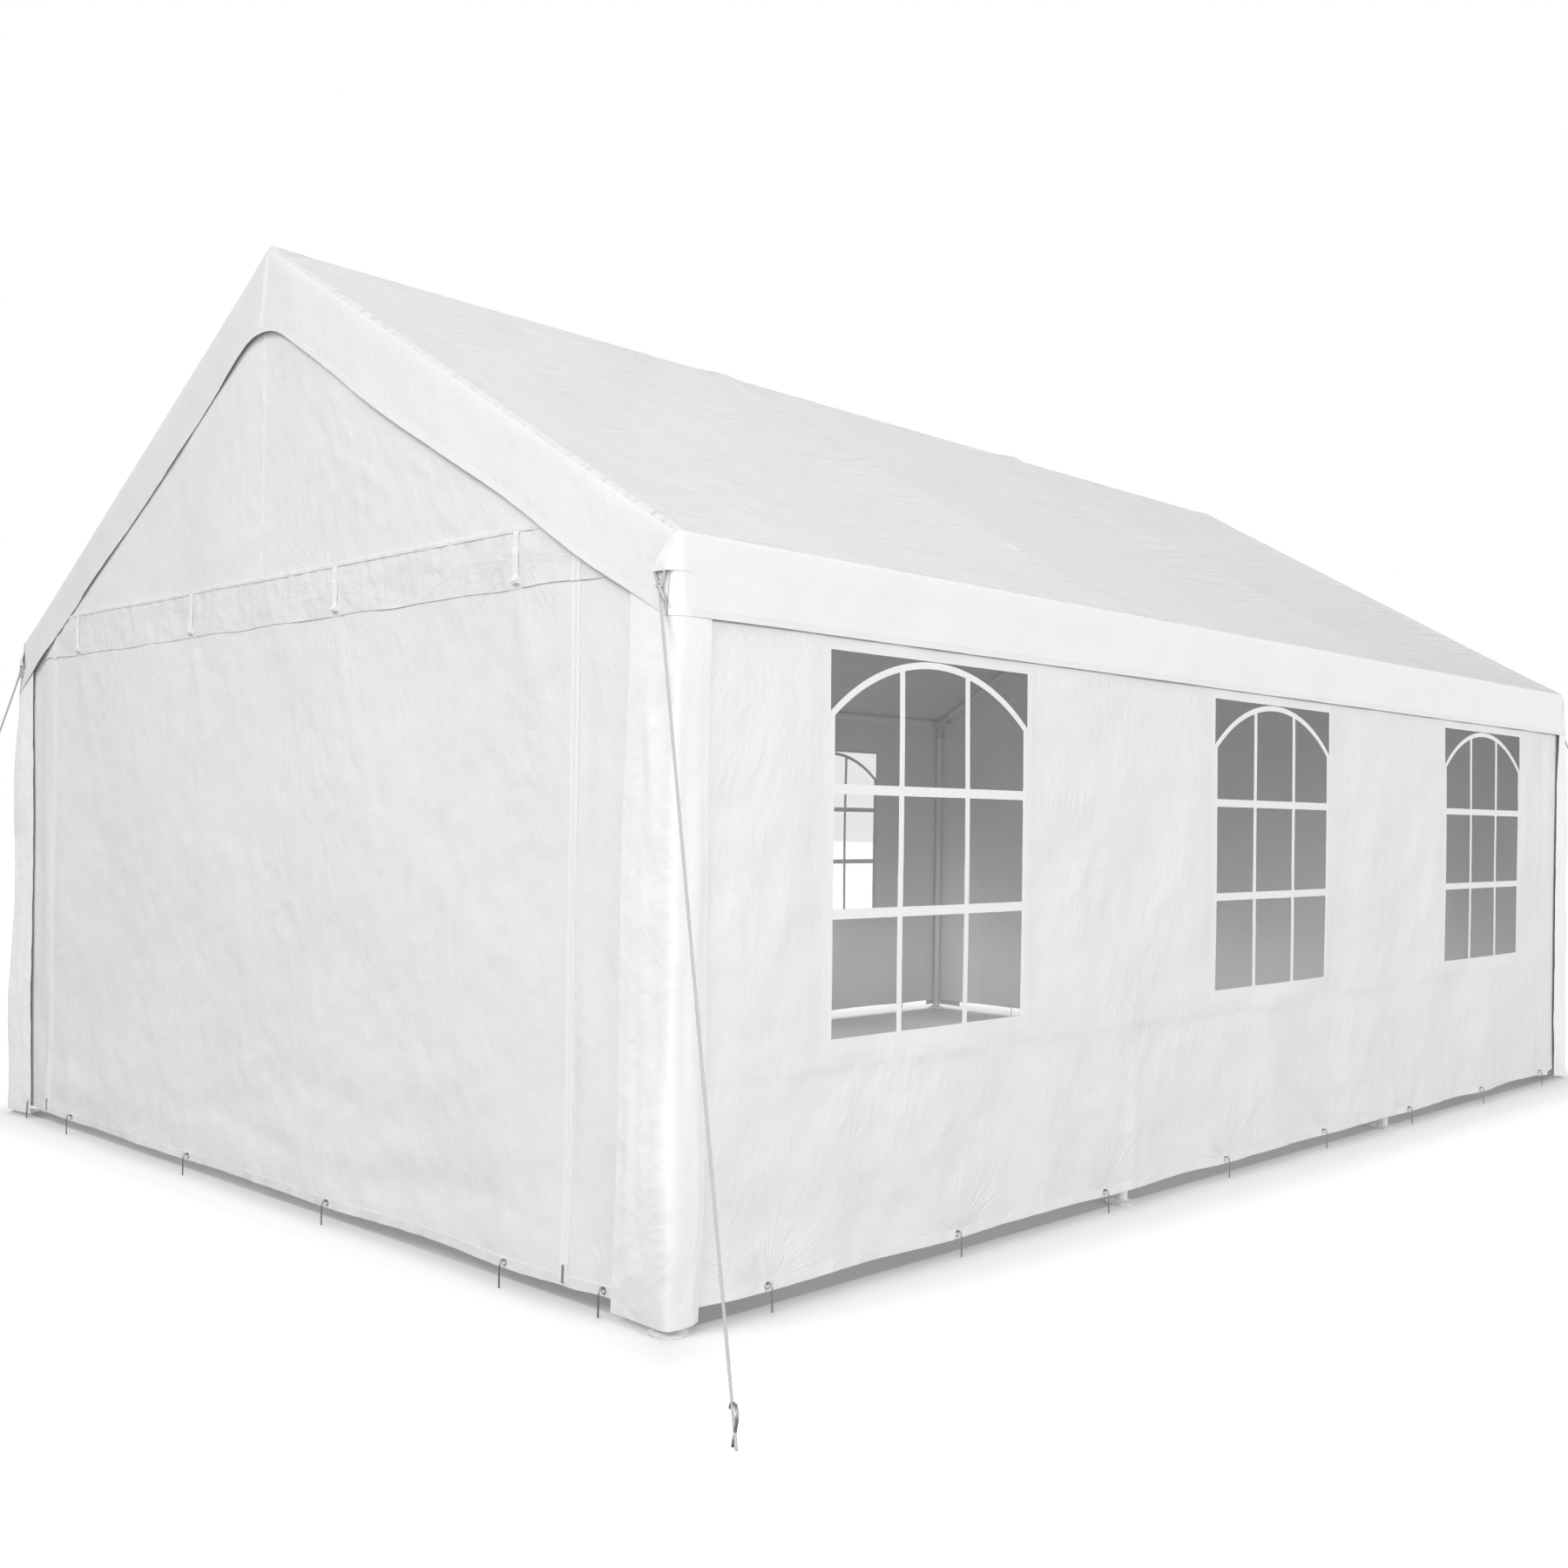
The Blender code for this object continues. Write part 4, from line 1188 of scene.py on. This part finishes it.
def zips(name, surface):
    """Two zips beside the door: a pair of tapes, a row of teeth between them, and a slider at the foot."""
    tape, gap, teeth_pitch = 0.017, 0.001, 0.0030
    under_tape, on_wall, on_belt = 0.0002, 0.0020, 0.0056
    parts, teeth, sliders = [], [], []
    for side in SIDES:
        x = side * DOOR_HALF
        for offset in (-1, 1):
            edge = x + offset * (tape + gap) / 2
            for foot, top, lift in ((ZIP_FOOT_Z, BELT_LOW + 0.004, on_wall),
                                    (BELT_LOW - 0.002, ZIP_TOP_Z, on_belt)):
                parts.append(band(surface, run((edge, foot), (edge, top)), tape, lift, under_tape))
        teeth.append(on_surface(surface, run((x, ZIP_FOOT_Z), (x, BELT_LOW)), teeth_pitch, on_wall))
        teeth.append(on_surface(surface, run((x, BELT_LOW), (x, ZIP_TOP_Z)), teeth_pitch, on_belt))
        sliders.append(on_surface(surface, [(x, ZIP_FOOT_Z + 0.02), (x, ZIP_FOOT_Z + 0.05)], 0.03, 0.0035))
    piece(f"{name}_zip_tapes", parts, ZIP_TAPE, "wall_sheet")
    repeats(f"{name}_zip_teeth", [block((0.0022, 0.0062, 0.0014), taper=0.8)], teeth, ZIP_COIL, "wall_sheet")
    pull = [block((0.016, 0.009, 0.005), taper=0.8), block((0.034, 0.006, 0.0012), (-0.022, 0, 0.002))]
    repeats(f"{name}_zip_sliders", pull, sliders, GALVANISED, "fitting_steel", jitter=0.05, seed=9)


def toggles(name, surface, end):
    """Straps with a bead at the foot that tie the rolled door up under the belt."""
    strap, bead, parts, places = 0.026, 0.028, [], []
    for number, x in enumerate(TOGGLE_X * -end):
        lean = 0.004 * math.sin(3.1 * number + 1)
        line = run((x, BELT_HIGH - 0.004), (x + lean, 1.885), 0.012)
        parts.append(band(surface, line, strap, 0.0056, 0.0028))
        places.append(on_surface(surface, [(x + lean, 1.890), (x + lean, 1.862)], bead, 0.0068))
    piece(f"{name}_toggle_straps", parts, WEBBING_PAINTED_LIGHT, "wall_sheet")
    ring = [block((bead * 0.7, 0.032, 0.012), taper=0.75), block((bead * 0.3, 0.034, 0.016), taper=0.7)]
    repeats(f"{name}_toggle_beads", ring, places, WEBBING_PAINTED_LIGHT, "wall_sheet", jitter=0.05, seed=11)


# Corner sleeves

SLEEVE_REACH = 0.036
SLEEVE_ON_GABLE, SLEEVE_ON_SIDE = 0.150, 0.078
SLEEVE_ARC = SLEEVE_REACH * math.pi / 2
SQUARE = 4.5


def sleeve_folds(seed):
    """A few soft folds at (metres round the corner from its middle, height)."""
    draw = np.random.default_rng(seed)
    made = [fold((-0.10, 1.70), (-0.055, 1.15), 0.020, 0.006),
            fold((-0.02, 0.62), (0.015, 0.10), 0.022, 0.008),
            fold((-0.125, 0.95), (-0.09, 0.15), 0.020, -0.005), fold((0.05, 1.3), (0.06, 0.5), 0.018, 0.003)]
    for _ in range(7):
        p, z = draw.uniform(-0.14, 0.08), draw.uniform(0.2, 1.5)
        lean, long = draw.uniform(-0.05, 0.05), draw.uniform(0.15, 0.5)
        rise = draw.uniform(0.0015, 0.004) * draw.choice((-1, 1))
        made.append(fold((p, z), (p + lean, z + long), draw.uniform(0.012, 0.022), rise))
    return made


def sleeve_surface(end, side, seed):
    """Points on a corner sleeve: part runs from -1 at the gable edge to 1 at the side edge."""
    small = creases(seed + 3, 0.16, (1.0, 1.6))
    bend = ripples(seed + 5, 0.8)
    folds = sleeve_folds(seed + 9)

    def surface(part, z, lift=0.0):
        part, z = spread(part, z)
        fallen = np.clip((VALANCE_Z - z) / (VALANCE_Z - SLEEVE_Z), 0, 1)
        gable_leg = SLEEVE_ON_GABLE - 0.018 + 0.022 * smooth(fallen * 3) + 0.018 * smooth((fallen - 0.75) * 4)
        side_leg = SLEEVE_ON_SIDE + 0.006 * np.sin(math.pi * fallen) - 0.010 * smooth((fallen - 0.8) * 5)
        p = np.where(part < 0, part * (gable_leg + SLEEVE_ARC / 2), part * (side_leg + SLEEVE_ARC / 2))
        q = np.clip(np.abs(p) - SLEEVE_ARC / 2, 0, None)
        turn = (np.clip(p / SLEEVE_ARC, -0.5, 0.5) + 0.5) * math.pi / 2
        loose = smooth(fallen * 6)
        rim = smooth((np.abs(part) - 0.6) / 0.4)
        edge = 1 - 0.8 * rim
        slack = 0.0020 + 0.0080 * loose * edge + 0.004 * smooth((fallen - 0.6) / 0.4) * edge
        slack = slack - loose * rim * np.where(part < 0, 0.001, 0.008)
        waves = (0.0035 * bend(p, z) + 1.4 * sum(one(p, z) for one in folds)) * edge * loose
        square = (np.cos(turn) ** SQUARE + np.sin(turn) ** SQUARE) ** (-1 / SQUARE)
        reach = (SLEEVE_REACH + slack) * (1 + (square - 1) * loose)
        reach = reach + waves + 0.0010 * small(p, z) * loose + lift
        x = HALF_WIDTH - np.where(p < 0, q, 0) + np.sin(turn) * reach
        y = HALF_LENGTH - np.where(p > 0, q, 0) + np.cos(turn) * reach
        return np.stack([side * x, end * y, z], axis=-1)
    return surface


def corner_sleeve(name, end, side):
    """A sleeve round a corner post, from behind the valance almost to the ground."""
    surface = sleeve_surface(end, side, 130 + 7 * end + 3 * side)
    part = np.concatenate([np.linspace(-1, -0.28, 11), np.linspace(-0.22, 0.36, 10), np.linspace(0.44, 1, 6)])
    x = HALF_WIDTH + np.minimum(part, 0) * SLEEVE_ON_GABLE
    top = valance_edge_z(x)[None, :] + 0.014
    z = top + (SLEEVE_Z - top) * np.linspace(0, 1, 66)[:, None]
    u = np.broadcast_to(part[None, :], z.shape)
    sleeve = laid_sheet(f"{name}_sleeve", surface, u, z, SLEEVE_SHEET, end * side < 0, wide=0.13)
    place(sleeve, "canopy_sheet", f"{name}_corner_sleeve")


# Pegs, eyelets, ropes and bolts

WIRE = 0.0024
ROPE_RADIUS = 0.004
STRAND_RADIUS = 0.0022
ROPE_LAY = 0.032
KNOT = (1.983, 3.047, 1.808)


def hem_pegs():
    """A bent steel peg and an eyelet at each place where a hem is pinned down."""
    hook = [(0, 0.019, 0.001), (0, 0.019, 0.040), (0, 0.018, 0.062), (0, 0.014, 0.073), (0, 0.007, 0.075),
            (0, 0.000, 0.068), (0, -0.003, 0.060)]
    hook = np.array(hook) - (0, 0, PEG_EYE_Z)
    turns = 2 * math.pi * np.arange(10) / 10
    eye = np.stack([0.0085 * np.cos(turns), np.full(10, 0.0012), 0.0085 * np.sin(turns)], axis=1)
    hems = [(side_surface(side), SIDE_PEGS, (0, -side, 0)) for side in SIDES]
    hems += [(gable_surface(end), GABLE_PEGS * -end, (end, 0, 0)) for end in ENDS]
    spots = []
    for surface, pegs, along in hems:
        here = surface(pegs, PEG_EYE_Z)
        here[:, 2] = PEG_EYE_Z
        spots.append((here, turned(np.tile(along, (len(pegs), 1)), (0, 0, 1))))
    repeats("hem_pegs", [tube(hook, WIRE, 5)], spots, PEG_STEEL, "fitting_steel", seed=13)
    repeats("hem_eyelets", [tube(eye, 0.0022, 5, closed=True)], spots, GALVANISED, "fitting_steel")


def twisted(start, end):
    """Three strands laid round a straight line."""
    length = float(np.linalg.norm(end - start))
    along = (end - start) / length
    side = np.cross(along, (0.0, 1.0, 0.0))
    side /= np.linalg.norm(side)
    other = np.cross(along, side)
    steps = np.linspace(0, length, int(length / 0.0045))[:, None]
    away = ROPE_RADIUS - STRAND_RADIUS
    strands = []
    for strand in range(3):
        turn = 2 * math.pi * (steps / ROPE_LAY + strand / 3)
        wound = away * (np.cos(turn) * side + np.sin(turn) * other)
        strands.append(tube(start + steps * along + wound, STRAND_RADIUS, 6))
    return strands


def guy_rope(name, end, side):
    """A strap on the canopy's corner, and the rope that is looped through it, knotted and pegged."""
    out = np.array([side, end, 1.0])
    knot = np.array(KNOT)
    ground = np.maximum(np.abs(ROPE_LOW), np.abs(ROPE_HIGH)) - ROPE_RADIUS
    ground[2] = 0.004
    parts = [(points * out, faces, flat) for points, faces, flat in twisted(knot, ground)]
    turns = np.linspace(0, 2 * math.pi, 26, endpoint=False)
    height = 0.024 * (1 - np.cos(turns))
    wide = 0.027 * np.sin(turns) * np.sin(turns / 2) ** 2
    loop = knot + np.stack([wide - 0.16 * height, -0.0063 * smooth(height / 0.032), height], axis=1)
    turns = np.linspace(0, 2 * math.pi, 40, endpoint=False)
    wrap = np.stack([np.sin(turns) + 2 * np.sin(2 * turns), -np.sin(3 * turns) * 0.9,
                     1.3 * (np.cos(turns) - 2 * np.cos(2 * turns))], axis=1)
    tail = knot + [(0, 0, 0), (0.010, 0.003, -0.014), (0.020, 0.004, -0.027), (0.026, 0.004, -0.040)]
    for line, closed in ((loop, True), (knot + 0.0024 * wrap, True), (tail, False)):
        parts.append(tube(line * out, ROPE_RADIUS * 0.9, 6, closed))
    piece(f"{name}_rope", parts, ROPE_FIBRE, "rope", f"{name}_guy_rope", shade_smooth=True)
    corner_patch(name, end, side, knot[2] + 0.036)
    rope_peg(name, out, ground)


def corner_patch(name, end, side, foot):
    """The folded patch on the canopy's corner, with a loose end that the rope's loop goes behind."""
    gable = gable_valance_surface(end)
    wrap = CANOPY_REACH * LAST_FOLD
    edge = HALF_WIDTH + CANOPY_REACH * math.cos(LAST_FOLD)

    def corner(p, z, lift=0.0):
        """p is metres round the corner, from the gable's side to the long side."""
        on_side = canopy_surface(side * (EAVE_ARC_END + EAVE_Z - z), end * (HALF_LENGTH + wrap - p), lift)
        x = side * (edge + p)
        drop = (rake_z(x) - z) / valance_depth(x)
        return np.where(p[:, None] < 0, gable(x, drop, lift), on_side)

    down, part = np.meshgrid(np.linspace(0, 1, 12), np.linspace(0, 1, 13), indexing="ij")
    left, right = -0.006 - 0.042 * down, 0.016 + 0.032 * down
    p = left + (right - left) * part
    z = EAVE_Z + 0.012 + (foot - EAVE_Z - 0.012) * down
    lift = 0.0018 + 0.0105 * smooth(1.8 * down - 0.5) * smooth((0.008 - p) / 0.012)
    soft_piece(f"{name}_corner_patch", closed_sheet(corner, p, z, lift), VALANCE_SHEET, "canopy_sheet")


def rope_peg(name, out, ground):
    """The top of a ground peg, leaning away from the tent, beside the rope's end."""
    foot = ground - (0.016, 0.010, 0)
    lean = np.array([0.5, 0.3, 0.0])
    shaft = [foot + (-0.012, -0.007, -0.003)]
    shaft += [foot + lean * away + (0, 0, height) for away, height in
              ((0.03, 0.055), (0.04, 0.075), (0.01, 0.086), (-0.05, 0.080), (-0.07, 0.064))]
    part = tube(np.array(shaft) * out, 0.0035)
    piece(f"{name}_rope_peg", [part], PEG_STEEL, "fitting_steel", shade_smooth=True)


def fitting_bolts():
    """A wing bolt on each arm of every fitting, on the side that faces into the tent."""
    reach = FITTING_ARM * 0.7
    bolts = []
    for line in POST_LINES:
        ways = [way for way in (-1, 1) if abs(line + way) < HALF_LENGTH]
        ridge = np.array([0, line, RIDGE_Z])
        for side in SIDES:
            eave = np.array([side * HALF_WIDTH, line, EAVE_Z])
            up = np.array([-side * math.cos(PITCH), 0, math.sin(PITCH)])
            under = np.array([-side * math.sin(PITCH), 0, -math.cos(PITCH)])
            inward = np.array([-side, 0, 0.0])
            arms = [(np.array([0, 0, -1.0]), inward), (up, under)]
            arms += [(np.array([0, way, 0.0]), inward) for way in ways]
            bolts += [(eave + heading * reach + face * FITTING, heading, face) for heading, face in arms]
            bolts.append((ridge - up * reach + under * FITTING, up, under))
        for way in ways:
            heading, down = np.array([0, way, 0.0]), np.array([0, 0, -1.0])
            bolts.append((ridge + heading * reach + down * FITTING, heading, down))
    spots, along, facing = (np.array(values) for values in zip(*bolts))
    bolt = [block((0.013, 0.013, 0.006), (0, 0, 0.002)), block((0.007, 0.007, 0.012), (0, 0, 0.010)),
            block((0.034, 0.0025, 0.010), (0, 0, 0.016), taper=0.8)]
    repeats("fitting_bolts", bolt, [(spots, turned(along, facing))], GALVANISED, "fitting_steel", seed=15)


# Ground, light and camera

WHITE = (1, 1, 1, 1)


def add_light(name, kind, place_at, target, power, **settings):
    """A light that is aimed at a target and doesn't show in the picture."""
    light = bpy.data.lights.new(name, kind)
    light.energy = power
    for label, value in settings.items():
        setattr(light, label, value)
    item = add_object(name, light)
    item.visible_camera = False
    item.location = place_at
    item.rotation_euler = (Vector(target) - Vector(place_at)).to_track_quat("-Z", "Y").to_euler()


def add_sun(name, direction, strength, softness):
    """Even soft light that comes from a direction."""
    add_light(name, "SUN", Vector(direction) * 10, (0, 0, 0), strength, angle=math.radians(softness))


def add_panel(name, place_at, target, size, power):
    """A soft rectangular panel light."""
    add_light(name, "AREA", place_at, target, power, shape="RECTANGLE", size=size[0], size_y=size[1])


def studio_floor():
    """A pale floor. To the camera it glows outside the tent, weakly at the tent and fully 0.6 m away: a
    painted soft shadow round the tent. It is dull close to the tent, and duller before the gables, so that it
    throws less light there.
    """
    material, tree, shader = new_material("pale floor", 0.9, specular=0.1)
    shader.inputs["Emission Color"].default_value = WHITE
    do = partial(maths, tree)
    where = tree.nodes.new("ShaderNodeTexCoord").outputs["Object"]
    where = add_node(tree, "ShaderNodeSeparateXYZ", where).outputs
    away_x = do("SUBTRACT", do("ABSOLUTE", where[0]), HALF_WIDTH)
    away_y = do("SUBTRACT", do("ABSOLUTE", where[1]), HALF_LENGTH)
    away = do("DIVIDE", do("MAXIMUM", away_x, away_y), 0.6, clamp=True)
    outside = do("GREATER_THAN", away, 0.0)
    seen = tree.nodes.new("ShaderNodeLightPath").outputs["Is Camera Ray"]
    # Emission seen only by the camera, weaker close to the tent: painted shade round it.
    glow_and_painted_shade = do("MULTIPLY", do("MULTIPLY_ADD", away, 0.56, 0.14), outside)
    tree.links.new(do("MULTIPLY", glow_and_painted_shade, seen), shader.inputs["Emission Strength"])
    dull = do("MULTIPLY", do("SUBTRACT", 1.0, do("MULTIPLY", away, 0.6)), outside)
    darkest = do("MULTIPLY_ADD", do("GREATER_THAN", away_y, away_x), -0.14, -0.20)
    bounce = do("MULTIPLY_ADD", dull, darkest, 0.47)
    lighter = do("MULTIPLY", do("SUBTRACT", 0.70, bounce), seen)
    tree.links.new(do("ADD", bounce, lighter), shader.inputs["Base Color"])
    size, low = 80.0, -0.0005
    corners = [(-size, -size, low), (size, -size, low), (size, size, low), (-size, size, low)]
    add_mesh("pale_floor", corners, [(0, 1, 2, 3)], material)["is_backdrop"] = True


def studio_sky():
    """White to look at, and a softer grey as light."""
    world = bpy.data.worlds.new("studio")
    world.use_nodes = True
    bpy.context.scene.world = world
    tree = world.node_tree
    lighting = tree.nodes["Background"]
    lighting.inputs["Color"].default_value = WHITE
    lighting.inputs["Strength"].default_value = 0.43
    backdrop = add_node(tree, "ShaderNodeBackground", color=WHITE, strength=1.0)
    seen = tree.nodes.new("ShaderNodeLightPath").outputs["Is Camera Ray"]
    mix = add_node(tree, "ShaderNodeMixShader", seen, lighting.outputs[0], backdrop.outputs[0])
    tree.links.new(mix.outputs[0], tree.nodes["World Output"].inputs["Surface"])


def studio_lights():
    """Lights set by the photo's tones. Those inside stand for light that comes through the sheets."""
    add_sun("key light", (1.0, -1.0, 0.25), 0.42, 20)
    add_sun("side light", (1.0, 0.22, 0.10), 1.76, 30)
    add_sun("gable light", (-0.2, -1.0, 0.9), 1.13, 24)
    add_panel("gable panel", (3.4, -9.0, 3.4), (0.6, -3.0, 2.3), (3.0, 3.0), 97.0)
    add_panel("roof panel", (4.0, -5.0, 6.0), (1.0, -2.0, 2.6), (2.5, 2.5), 30.0)
    add_panel("side panel", (8.0, 4.5, 1.2), (2.0, 3.0, 1.0), (3.0, 3.0), 27.0)
    add_sun("rear fill", (-1.0, 1.0, 0.6), 0.70, 50)
    add_panel("rear panel", (-2.5, 9.0, 2.6), (0.0, 3.0, 1.5), (3.0, 3.0), 90.0)
    add_panel("inner fill", (0, 0, 0.62), (0, 0, 0), (2 * HALF_WIDTH - 0.8, 2 * HALF_LENGTH - 0.8), 8.0)
    for side in SIDES:
        add_panel("foot light", (side * 1.2, 0, 0.45), (side * HALF_WIDTH, 0, 0.1), (5.0, 0.1), 4.6)
        add_panel("foot light", (0, side * 2.2, 0.45), (0, side * HALF_LENGTH, 0.1), (3.2, 0.1), 3.4)


CAMERA_AT = (4.9234, -5.6283, 1.2396)
CAMERA_TURN = math.radians(44.1927)
CAMERA_ROLL = math.radians(0.7803)
PHOTO_SIDE = 1800
FOCAL_PIXELS = 1858.94
CENTRE_Y_PIXEL = 945
SENSOR = 36.0


def camera():
    """The camera that was fitted to the photo. It stands level but for a slight roll."""
    data = bpy.data.cameras.new("photo view")
    data.sensor_width = SENSOR
    data.lens = FOCAL_PIXELS / PHOTO_SIDE * SENSOR
    data.shift_y = (CENTRE_Y_PIXEL - PHOTO_SIDE / 2) / PHOTO_SIDE
    data.clip_end = 200.0
    item = add_object("photo view", data)
    ahead = Vector((-math.sin(CAMERA_TURN), math.cos(CAMERA_TURN), 0))
    right = Vector((math.cos(CAMERA_TURN), math.sin(CAMERA_TURN), 0))
    level = Vector((0, 0, 1))
    across = right * math.cos(CAMERA_ROLL) + level * math.sin(CAMERA_ROLL)
    upward = -right * math.sin(CAMERA_ROLL) + level * math.cos(CAMERA_ROLL)
    turn = Matrix((across, upward, -ahead)).transposed().to_4x4()
    item.matrix_world = Matrix.Translation(CAMERA_AT) @ turn
    bpy.context.scene.camera = item


def finish_frame():
    """White coating on tubes and posts, and zinc on the fittings."""
    looks = {"fitting": GALVANISED, "post": COATED_STEEL, "tube": COATED_STEEL, "rafter": COATED_STEEL}
    for name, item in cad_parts.items():
        for word, material in looks.items():
            if word in name:
                item.material_slots[0].material = material
                break


camera()
studio_floor()
studio_sky()
studio_lights()
bpy.context.scene.view_settings.view_transform = "Standard"
finish_frame()
roof_canopy()
for wall_side in SIDES:
    side_wall(wall_side)
for gable_end, end_name in ENDS.items():
    gable_at = gable_surface(gable_end)
    door_sheet(gable_end)
    gable_wall(gable_end)
    soft_piece(f"{end_name}_belt", belt(gable_at, gable_end), BELT_SHEET_SHADED, "wall_sheet")
    zips(end_name, gable_at)
    toggles(end_name, gable_at, gable_end)
    for sleeve_side, side_name in SIDES.items():
        corner_sleeve(f"{end_name}_{side_name}", gable_end, sleeve_side)
        guy_rope(f"{end_name}_{side_name}", gable_end, sleeve_side)
hem_pegs()
fitting_bolts()

boxes = {"cad": CAD_BOX, "visual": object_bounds()}
{name: [list(corner) for corner in box] for name, box in boxes.items()}
